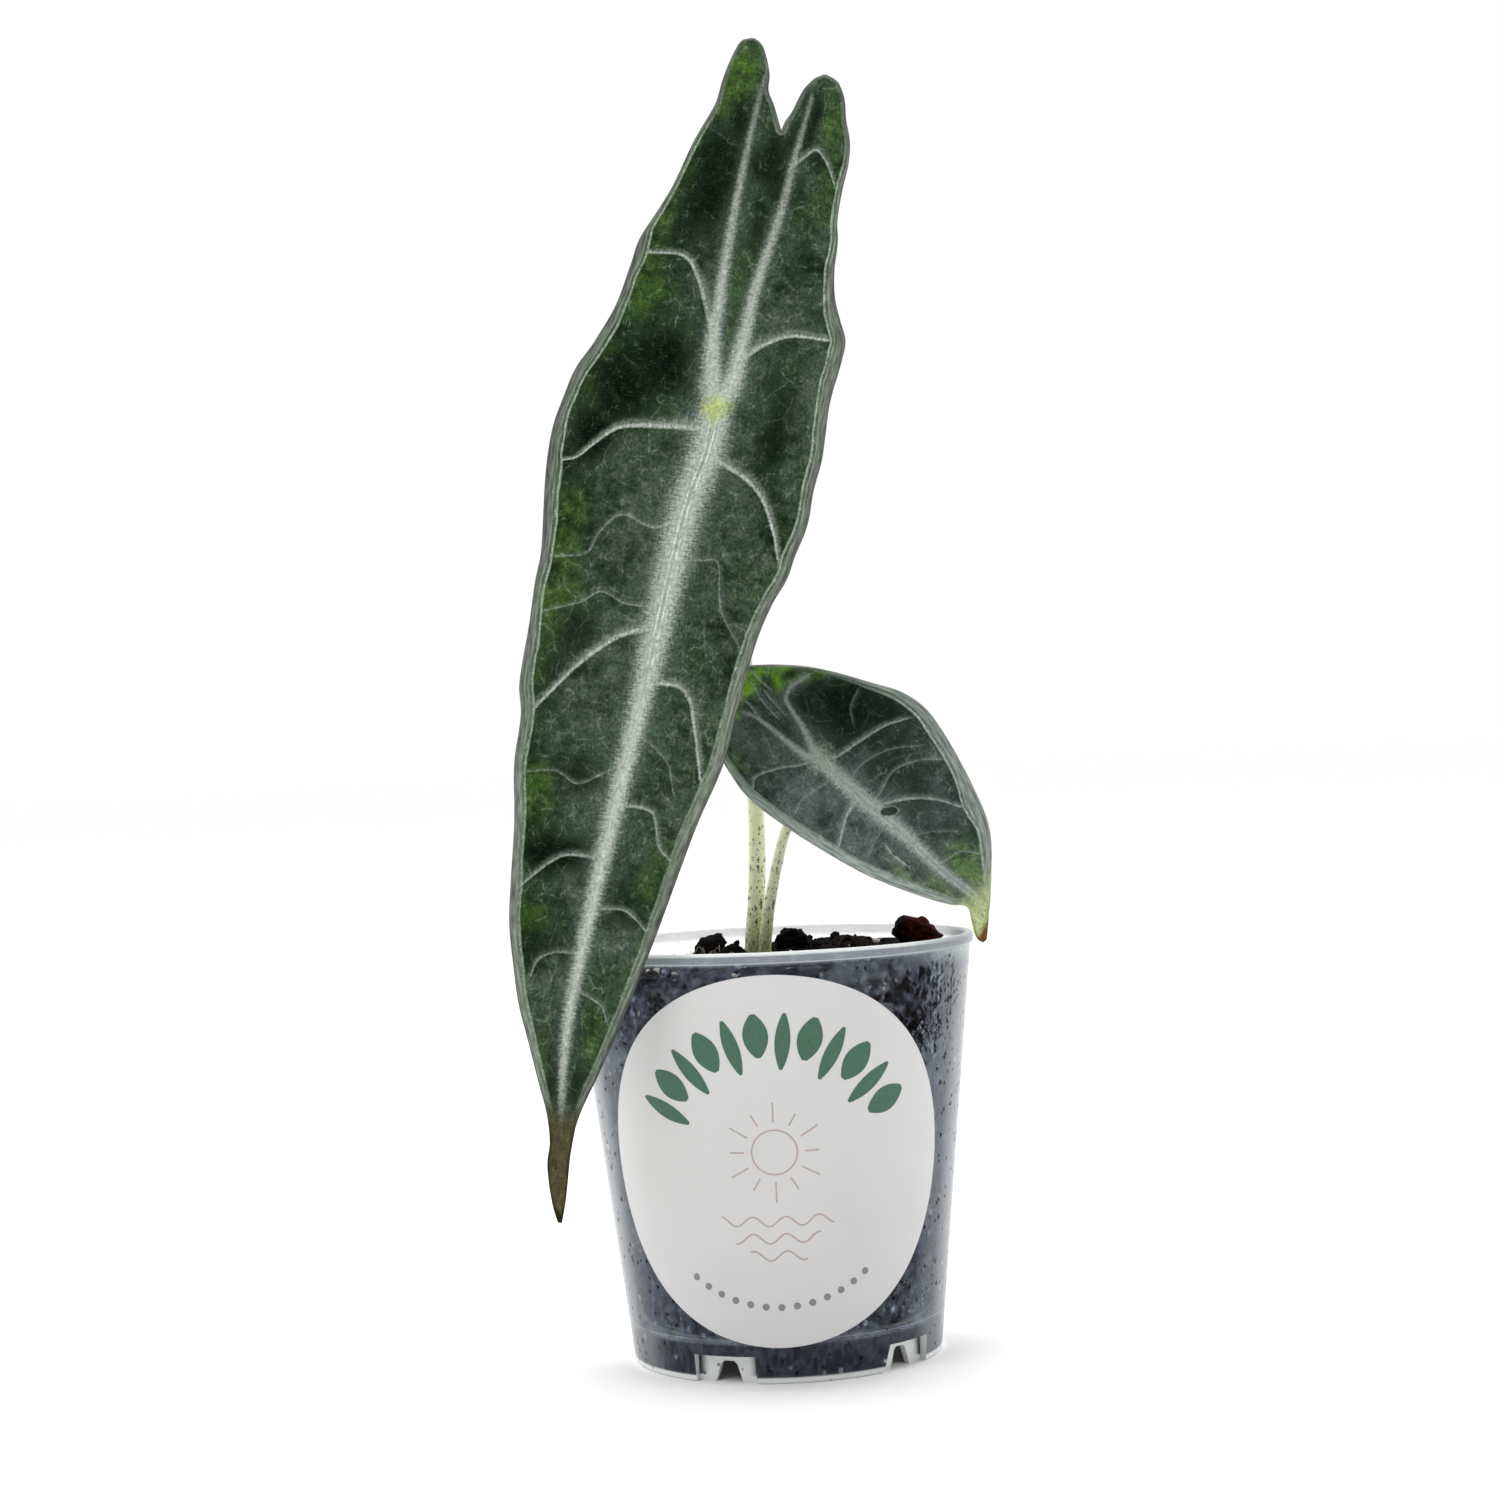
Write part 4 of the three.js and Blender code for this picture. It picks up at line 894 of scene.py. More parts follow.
def long_leaf_depth(across, q, margin, side):
    """How far back each point lies: the blade falls forward and hangs, and its margins wave."""
    fall = np.where(q > 0, -14 * (1 - (1 - q / 98) ** 2), -0.286 * q - 0.0012 * q * q)
    arch = np.where(side < 0, 0.004, 0.006) * across * across
    groove = 0.5 * np.exp(-((across / 1.8) ** 2))
    wave = 1.1 * margin ** 2 * np.sin(2 * np.pi * q / 31 + np.where(side < 0, 0.6, 2.4))
    fade = np.clip((110 - q) / 25, 0, 1)
    return fall + arch + groove + wave * fade * fade * (3 - 2 * fade)


BLADE_THICKNESS = 0.55
MARGIN_ROUNDING = 0.35
OUTLINE_STEP = 0.08
LINE_STEP = 0.1
PILLOW = (0.5, 2.6)  # how high the blade stands between strong veins, and over what reach
PRESSED_VEIN = (0.25, 0.5)  # depth and reach on the upper face
PRESSED_RIB = (0.35, 0.8)
RAISED_VEIN = (0.45, 0.45)  # height and reach on the lower face
RAISED_JOINT = 0.6
UNEVEN = 0.35
NOISE_SEED = 7


def beside(places, lines):
    """Nearest line to each place: distance with a side and without, its number, share along it."""
    ways = [np.gradient(line, axis=0) for line in lines]
    samples = np.vstack(lines)
    normals = np.vstack([np.column_stack([-way[:, 1], way[:, 0]]) for way in ways])
    normals /= np.linalg.norm(normals, axis=1)[:, None]
    numbers = np.concatenate([np.full(len(line), k) for k, line in enumerate(lines)])
    shares = np.concatenate([np.linspace(0, 1, len(line)) for line in lines])
    tree = kdtree.KDTree(len(samples))
    for i, (p, q) in enumerate(samples):
        tree.insert((p, q, 0), i)
    tree.balance()
    found = np.array([tree.find((p, q, 0))[1] for p, q in places])
    offset = places - samples[found]
    signed = (offset * normals[found]).sum(1)
    reach = np.linalg.norm(offset, axis=1)
    signed = np.where(np.isin(shares[found], (0, 1)), np.copysign(reach, signed), signed)
    return signed, reach, numbers[found], shares[found]


def patches(places, spots):
    """Field from patches (p, q, reach across, reach along, strength), each soft and ragged."""
    noise.seed_set(NOISE_SEED)
    drift = np.array([noise.noise_vector((p / 3, q / 4, 5))[:2] for p, q in places]) * 1.3
    field = np.zeros(len(places))
    for p, q, wide, tall, strength in spots:
        away = (places + drift * min(1, wide / 3) - (p, q)) / (wide, tall)
        field = np.maximum(field, strength * np.exp(-((away ** 2).sum(1) ** 1.4)))
    return field


def half_blade(leaf, side):
    """Rows of one half: each from the midrib or the notch out to the margin."""
    outline, notch = leaf[side], leaf["notch_" + side]
    q_main = np.linspace(outline[-1][0], leaf["notch"], leaf["rows"] + 1)
    share = np.sin(0.5 * np.pi * np.arange(1, leaf["lobe_rows"] + 1) / leaf["lobe_rows"])
    q_lobe = leaf["notch"] + (outline[0][0] - leaf["notch"]) * share
    start = np.r_[through(leaf["midrib"], q_main), through(notch, q_lobe)]
    q = np.r_[q_main, q_lobe]
    end = through(outline, q)
    even = np.linspace(0, 1, leaf["columns"])
    share = 0.3 * even + 0.35 * (1 - np.cos(np.pi * even))
    p = start[:, None] + (end - start)[:, None] * share
    return np.dstack([p, np.repeat(q[:, None], leaf["columns"], axis=1)])


def outline_of(leaf):
    """The whole margin as lines of close points: two sides, two notch sides and the blunt ends."""
    lines = []
    for name in ("left", "right", "notch_left", "notch_right"):
        q = np.arange(leaf[name][0][0], leaf[name][-1][0], OUTLINE_STEP)
        lines.append(np.column_stack([through(leaf[name], q), q]))
    for first, second in ((0, 2), (1, 3)):
        lines.append(np.linspace(lines[first][0], lines[second][0], 20))
    lines.append(np.linspace(lines[0][-1], lines[1][-1], 20))
    return lines


def mirrored(points):
    return [(p, q) for q, p in points]


def blade(name, leaf, depth_at):
    """Both faces of a blade, with its veins pressed in above and raised below."""
    halves = [half_blade(leaf, "left"), half_blade(leaf, "right")]
    rows, columns = halves[0].shape[:2]
    places = np.vstack([half.reshape(-1, 2) for half in halves])
    index = np.arange(len(places)).reshape(2, rows, columns)
    seam = leaf["rows"] + 1
    index[1, :seam, 0] = index[0, :seam, 0]
    border = np.zeros(len(places), bool)
    border[index[:, :, -1]] = True
    border[index[:, 0, :]] = True
    border[index[:, -1, :]] = True
    border[index[:, leaf["rows"]:, 0]] = True

    p, q = places.T
    _, inset, _, _ = beside(places, outline_of(leaf))
    inset[border] = 0
    midrib = [point for point in mirrored(leaf["midrib"]) if point[1] > 0]
    ribs = [flowing(leaf[lobe][::-1] + midrib, LINE_STEP) for lobe in ("lobe_left", "lobe_right")]
    rib_left, rib_right = (beside(places, [rib])[0] for rib in ribs)
    rib_reach = np.minimum(np.abs(rib_left), np.abs(rib_right))
    strong = [vein[2] >= leaf["strong"] for vein in leaf["veins"]]
    lines = [flowing(vein[3], LINE_STEP) for vein in leaf["veins"]]
    vein_side, vein_reach, number, share = beside(places, lines)
    starts, ends, strengths = (np.array([vein[k] for vein in leaf["veins"]]) for k in range(3))
    width = starts[number] + (ends - starts)[number] * share
    left = p < through(leaf["midrib"], q)
    rims, pale, dark_rim, rim_line = (
        np.where(left, through(leaf[key + "_left"], q), through(leaf[key + "_right"], q))
        for key in ("rim", "pale", "dark", "line")
    )
    vein_side = np.where(left, vein_side, -vein_side)
    weight = strengths[number] * np.exp(-((vein_reach / 1.6) ** 4))
    weight *= np.clip(0.5 + (inset - rims) / 0.5, 0, 1)
    _, pillow_reach, _, _ = beside(places, [line for line, pressed in zip(lines, strong) if pressed])

    def middle(p, q):
        across = p - through(leaf["midrib"], q)
        side = np.where(across < 0, -1, 1)
        edge = through(leaf["left"], q), through(leaf["right"], q)
        edge = np.where(side < 0, *edge) - through(leaf["midrib"], q)
        margin = np.minimum(np.abs(across) / np.maximum(np.abs(edge), 1), 1)
        return depth_at(across, q, margin, side)

    slope_p = (middle(p + 0.2, q) - middle(p - 0.2, q)) / 0.4
    slope_q = (middle(p, q + 0.2) - middle(p, q - 0.2)) / 0.4
    slant = np.sqrt(1 + slope_p ** 2 + slope_q ** 2)
    round_off = np.sqrt(1 - (1 - np.clip(inset / MARGIN_ROUNDING, 0, 1)) ** 2)
    half_thick = 0.5 * BLADE_THICKNESS * round_off * slant
    rib_power = through(leaf["rib_height"], q)
    open_reach = np.minimum(np.minimum(pillow_reach, rib_reach), inset)
    pillow = PILLOW[0] * (1 - np.exp(-((open_reach / PILLOW[1]) ** 2)))
    sunk = PRESSED_VEIN[0] * weight * np.exp(-((vein_side / PRESSED_VEIN[1]) ** 2))
    sunk += PRESSED_RIB[0] * np.exp(-((rib_reach / PRESSED_RIB[1]) ** 2))
    drift = np.array([noise.noise((a / 7, b / 9, 2)) for a, b in places]) * UNEVEN
    face = middle(p, q) - pillow + sunk * round_off + drift
    ridge = rib_power * np.exp(-((rib_reach / np.maximum(rib_power, 0.3)) ** 2))
    ridge += RAISED_VEIN[0] * weight * np.exp(-((vein_side / RAISED_VEIN[1]) ** 2))
    ridge += RAISED_JOINT * np.exp(-(p * p + q * q) / 5)

    upper = np.column_stack([p, face - half_thick, -q])
    lower = np.column_stack([p, face + half_thick + ridge * round_off, -q])
    lower_index = np.full(len(places), -1)
    own = np.unique(index[~border[index]])
    lower_index[own] = len(places) + np.arange(len(own))
    lower_index[border] = np.arange(len(places))[border]
    vertices = from_leaf(np.vstack([upper, lower[own]]), leaf["joint"], leaf["lean"])
    corners = [index[:, :-1, :-1], index[:, :-1, 1:], index[:, 1:, 1:], index[:, 1:, :-1]]
    corners = np.stack(corners, axis=-1).reshape(-1, 4)
    faces = np.vstack([corners, lower_index[corners][:, ::-1]])
    used = np.unique(faces)
    packed = np.zeros(len(vertices), int)
    packed[used] = np.arange(len(used))
    source = np.r_[np.arange(len(places)), own][used]
    made = solid(name, vertices[used], packed[faces].tolist(), sharp=180)

    below = np.r_[np.where(border, 0.5, 0), np.ones(len(own))][used]
    tip = np.clip((q - leaf["tip_start"]) / 6, 0, 1) + np.clip((q - leaf["tip_end"]) / 2.5 + 1, 0, 1)
    joint = np.exp(-((p - 0.1) ** 2 + (q - 0.4) ** 2) / 5)
    joint += 0.25 * np.exp(-(p + 0.5) ** 2 / 0.8 - (q - 4) ** 2 / 14)
    hurt = patches(places, leaf["hurt"])
    fields = {
        "leaf_place": (p, q, inset),
        "leaf_ribs": (rib_left, rib_right, through(leaf["band"], q)),
        "leaf_veins": (vein_side / width, weight, hurt),
        "leaf_tones": tuple(patches(places, leaf[key]) for key in ("bloom_and_sheen", "fresh_and_glow", "painted_shade")),
        "leaf_rim": (rims, pale, tip),
        "leaf_edges": (dark_rim, rim_line, through(leaf["silver"], q)),
        "leaf_ends": (joint, np.zeros(len(p)), None),
    }
    for key, values in fields.items():
        field = [below if value is None else value[source] for value in values]
        keep(made, key, np.column_stack(field).astype(np.float32))
    return made


def blade_material(name, tones, contrast):
    """Leaf skin, grown: dull satin, silver feathered along the ribs, with a pale vein inside a grey rim;
    the underside is paler, with raised veins. Painted sheen, painted shade and, on the small blade,
    painted light shining through lie in soft patches in its colour."""
    made, tree, shader = start_material(name, {"IOR": 1.43, "Specular IOR Level": 0.05})
    fields = {}
    for key in ("leaf_place", "leaf_ribs", "leaf_veins", "leaf_tones", "leaf_rim", "leaf_edges", "leaf_ends"):
        vector = add(tree, "Attribute", attribute_name=key, out="Vector")
        fields[key] = add(tree, "SeparateXYZ", {0: vector}, out=None)
    across, along, inset = fields["leaf_place"]
    rib_left, rib_right, band = fields["leaf_ribs"]
    vein_side, vein_weight, hurt = fields["leaf_veins"]
    bloom_and_sheen, fresh_and_glow, painted_shade = fields["leaf_tones"]
    rim_width, rim_pale, tip = fields["leaf_rim"]
    dark_rim, rim_line, silver = fields["leaf_edges"]
    joint, _, below = fields["leaf_ends"]

    def fall(value, full, none, most=1.0):
        """Share that is most where the value is full, and 0 where it is none."""
        return ramp(value, none, full, most)

    def cloud(wide, tall, detail=2, first=across, second=along):
        """Even noise, its grains as wide and as tall as given in millimetres."""
        spot = add(tree, "CombineXYZ", {0: calc("DIVIDE", first, wide), 1: calc("DIVIDE", second, tall)})
        return add(tree, "TexNoise", {"Vector": spot, "Scale": 1, "Detail": detail, "Roughness": 0.6})

    def swing(noise_value, most):
        """Noise turned into a push of up to about this much either way."""
        return times(minus(noise_value, 0.5), most)

    patchy = cloud(5, 5, 4)
    broad = cloud(13, 13, 2)
    mottle = cloud(1.7, 1.7, 3)
    grain = cloud(0.45, 0.45, 2)
    fine = cloud(0.2, 0.3, 1)
    hair = cloud(1.2, 0.26, 2)
    dash = cloud(0.3, 1.3, 2)
    streak = cloud(0.32, 3, 2, inset, along)
    wisps = calc("ABSOLUTE", minus(cloud(0.5, 0.95, 2), 0.5))
    flat_place = add(tree, "CombineXYZ", {0: across, 1: along})
    wander = add(tree, "TexNoise", {"Vector": flat_place, "Scale": 0.7, "Detail": 3}, out="Color")
    bent = vector_calc("MULTIPLY", vector_calc("ADD", flat_place, wander), (1.3, 0.8, 0))
    cells = add(tree, "TexVoronoi", {"Vector": bent, "Scale": 1 / 3.6}, feature="DISTANCE_TO_EDGE",
                voronoi_dimensions="2D")
    lines = calc("ABSOLUTE", minus(cloud(2.6, 3.4, 1), 0.5))
    faint = fall(plus(mottle, swing(broad, 0.5)), 0.62, 0.42)
    lit = minus(1.0, times(painted_shade, 0.75))
    net = times(fall(cells, 0, 0.05, 0.38), faint, lit)
    threads = times(fall(lines, 0, 0.025, 0.25), faint, lit)
    wisps = times(fall(wisps, 0, 0.045, 0.45), fall(mottle, 0.6, 0.4), lit)

    rib = calc("MINIMUM", calc("ABSOLUTE", rib_left), calc("ABSOLUTE", rib_right))
    rib_share = calc("DIVIDE", rib, band)
    ragged = plus(rib_share, swing(mottle, 0.9), swing(hair, 1.5), swing(fine, 1.1))
    silver_edge = times(fall(ragged, 0.55, 1.75, 0.72), silver)
    silver_core = times(fall(ragged, 0.1, 1.25, 0.92), silver)
    silver_haze = times(fall(rib_share, 0.8, 3.4, 0.35), silver)
    channel = times(fall(along, 30, 52), fall(along, 4, -3))
    centre_pair = fall(calc("ABSOLUTE", minus(rib, 0.36)), 0.05, 0.2, 0.85)
    centre_pair = times(centre_pair, channel, fall(mottle, 0.6, 0.25))
    channel = times(fall(rib, 0.45, 0.8, 0.5), channel)
    rough_side = plus(vein_side, swing(fine, 0.8), swing(mottle, 0.5))
    vein_core = times(fall(calc("ABSOLUTE", rough_side), 0.1, 0.8, 0.75), vein_weight)
    vein_feather = plus(vein_side, 0.2, swing(hair, 2.6), swing(fine, 1.8))
    vein_feather = times(fall(vein_feather, 0.2, 3.2, 0.85), fall(vein_side, -0.1, -0.8), vein_weight)

    rim = plus(calc("DIVIDE", inset, rim_width), swing(cloud(5, 5, 2), 0.45), swing(grain, 0.12))
    rim_reach = times(minus(rim, 1.0), rim_width)
    rim_vein = times(fall(calc("ABSOLUTE", rim_reach), 0.07, 0.22, 0.75), rim_line)
    second_vein = fall(calc("ABSOLUTE", plus(rim_reach, 0.62)), 0.03, 0.15, 0.4)
    second_vein = times(second_vein, rim_line)
    brushed_rim = plus(rim, swing(streak, 0.3))
    rim_grey = fall(brushed_rim, 0.52, 0.68, 0.9)
    rim_green = fall(brushed_rim, 0.85, 1.0, 0.35)
    pale_grey = times(rim_green, rim_pale)
    rim_shade = times(fall(plus(rim, swing(streak, 0.35)), 0.12, 0.5, 0.85), dark_rim)
    rim_edge = fall(inset, 0.06, 0.24, 0.75)

    # Painted sheen with waxy grey: the blade is paler grey-green near its ribs and in soft patches.
    near_rib = fall(plus(rib, swing(broad, 8)), 1, 9, 0.6)
    gentle_rib = times(near_rib, fall(patchy, 0.75, 0.3))
    sheen_share = times(bloom_and_sheen, fall(plus(patchy, swing(mottle, 0.5)), 0.85, 0.2, 0.95))
    # Yellow-green young tissue, which on the small blade is painted light shining through.
    greener = times(fresh_and_glow, fall(plus(patchy, swing(mottle, 0.6)), 0.8, 0.25))
    greener = calc("MINIMUM", greener, 0.92)
    # Painted shade: dark patches where the blade turns away from the light.
    shadowed = times(painted_shade, fall(plus(mottle, swing(grain, 0.8)), 0.75, 0.35))
    joint_spot = plus(joint, swing(mottle, 0.7), swing(grain, 0.9))
    tip_spot = fall(plus(mottle, swing(grain, 0.8)), 0.5, 0.62, 0.5)
    tip_outline = times(fall(inset, 0.1, 0.6, 0.8), tip)
    hurt_edge = fall(plus(hurt, swing(grain, 0.8)), 0.75, 0.3, 0.45)
    shade = mix(fall(patchy, 0.66, 0.34), tones["deep"], tones["green"])
    for share, tone in (
        (fall(broad, 0.62, 0.42, 0.6), "olive"),
        (gentle_rib, "bloom_and_sheen"),
        (sheen_share, "bloom_and_sheen"),
        (times(sheen_share, fall(mottle, 0.6, 0.4, 0.4)), "warm_bloom_and_sheen"),
        (greener, "fresh_and_glow"),
        (fall(dash, 0.64, 0.52, 0.5 * contrast), "deep"),
        (times(painted_shade, 0.85), "painted_shade"),
        (shadowed, "painted_shade"),
        (times(fall(hair, 0.68, 0.54, 0.4), painted_shade), "green"),
        (wisps, "olive"),
        (net, "net"),
        (threads, "net"),
        (silver_haze, "bloom_and_sheen"),
        (vein_feather, "silver_dull"),
        (vein_core, "silver"),
        (rim_green, "rim"),
        (rim_grey, "rim"),
        (pale_grey, "rim_light"),
        (rim_shade, "rim_dark"),
        (second_vein, "vein"),
        (rim_vein, "vein"),
        (rim_edge, "rim_edge"),
        (silver_edge, "silver_dull"),
        (silver_core, "silver"),
        (channel, "silver_dull"),
        (centre_pair, "centre"),
        (fall(joint_spot, 1.1, 0.1, 0.7), "joint"),
        (fall(tip, 1, 0, 0.92), "tip"),
        (times(tip_spot, fall(tip, 1, 0.2)), "tip_light"),
        (tip_outline, "tip_line"),
        (fall(plus(tip, swing(mottle, 1.4)), 1.7, 1.1), "tip_end"),
        (times(hurt_edge, fall(tip, 0, 0.1)), "hurt_rim"),
        (fall(plus(hurt, swing(grain, 0.7)), 1.0, 0.8, 0.9), "hurt"),
    ):
        shade = mix(share, shade, tones[tone])
    speckle = plus(swing(grain, 2.0 * contrast), swing(fine, 0.9 * contrast),
                   swing(dash, 1.6 * contrast), swing(mottle, contrast))
    speckle = times(speckle, fall(rim, 1.1, 0.5, 1.0), minus(1.0, times(silver_core, 0.45)))
    speckle = calc("MAXIMUM", plus(1.0, speckle), 0.3)
    shade = mix(1.0, shade, speckle, blend_type="MULTIPLY")
    brush = calc("MAXIMUM", plus(1.0, swing(streak, 2.6)), 0.3)
    brushed = mix(1.0, shade, brush, blend_type="MULTIPLY")
    shade = mix(fall(rim, 0.8, 1.1), shade, brushed)

    back = mix(patchy, tones["back_dark"], tones["back"])
    for share, tone in (
        (net, "back_vein"),
        (vein_core, "back_vein"),
        (fall(rib_share, 0.1, 0.7), "back_vein"),
        (rim_grey, "back_rim"),
        (fall(tip, 1, 0, 0.9), "tip"),
    ):
        back = mix(share, back, tones[tone])
    both = mix(fall(below, 0.8, 0.5), shade, back)
    coat(tree, shader, both, plus(grain, times(net, -1.2)), 0.05, 0.4)
    dull = plus(rise(grain, 0, 1, 0.56, 0.4), times(silver_core, 0.12))
    tree.links.new(dull, shader.inputs["Roughness"])
    return made


long_blade = blade("long_leaf_blade", LONG_LEAF, long_leaf_depth)
long_blade.data.materials.append(blade_material("long_blade_grown", {
    "deep": "#112614", "green": "#294426", "olive": "#3a5034", "bloom_and_sheen": "#526359", "warm_bloom_and_sheen": "#59564b",
    "painted_shade": "#05150b", "fresh_and_glow": "#4a6823", "net": "#7b8f7c", "vein": "#9fb69f", "rim": "#676c66",
    "rim_light": "#97a892", "rim_dark": "#34352f", "rim_edge": "#57535a", "silver_dull": "#8b998d",
    "silver": "#c0cac0", "centre": "#dfe6d6", "joint": "#b9c765", "tip": "#45422b", "tip_light": "#6c6648",
    "tip_end": "#2b2717", "tip_line": "#2b2717", "hurt": "#20251c", "hurt_rim": "#20251c",
    "back": "#7f9478", "back_dark": "#6a7d66", "back_vein": "#a9b88f", "back_rim": "#8a8088",
}, 1.0))
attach(long_blade, "root")
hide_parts("blade_long_leaf")

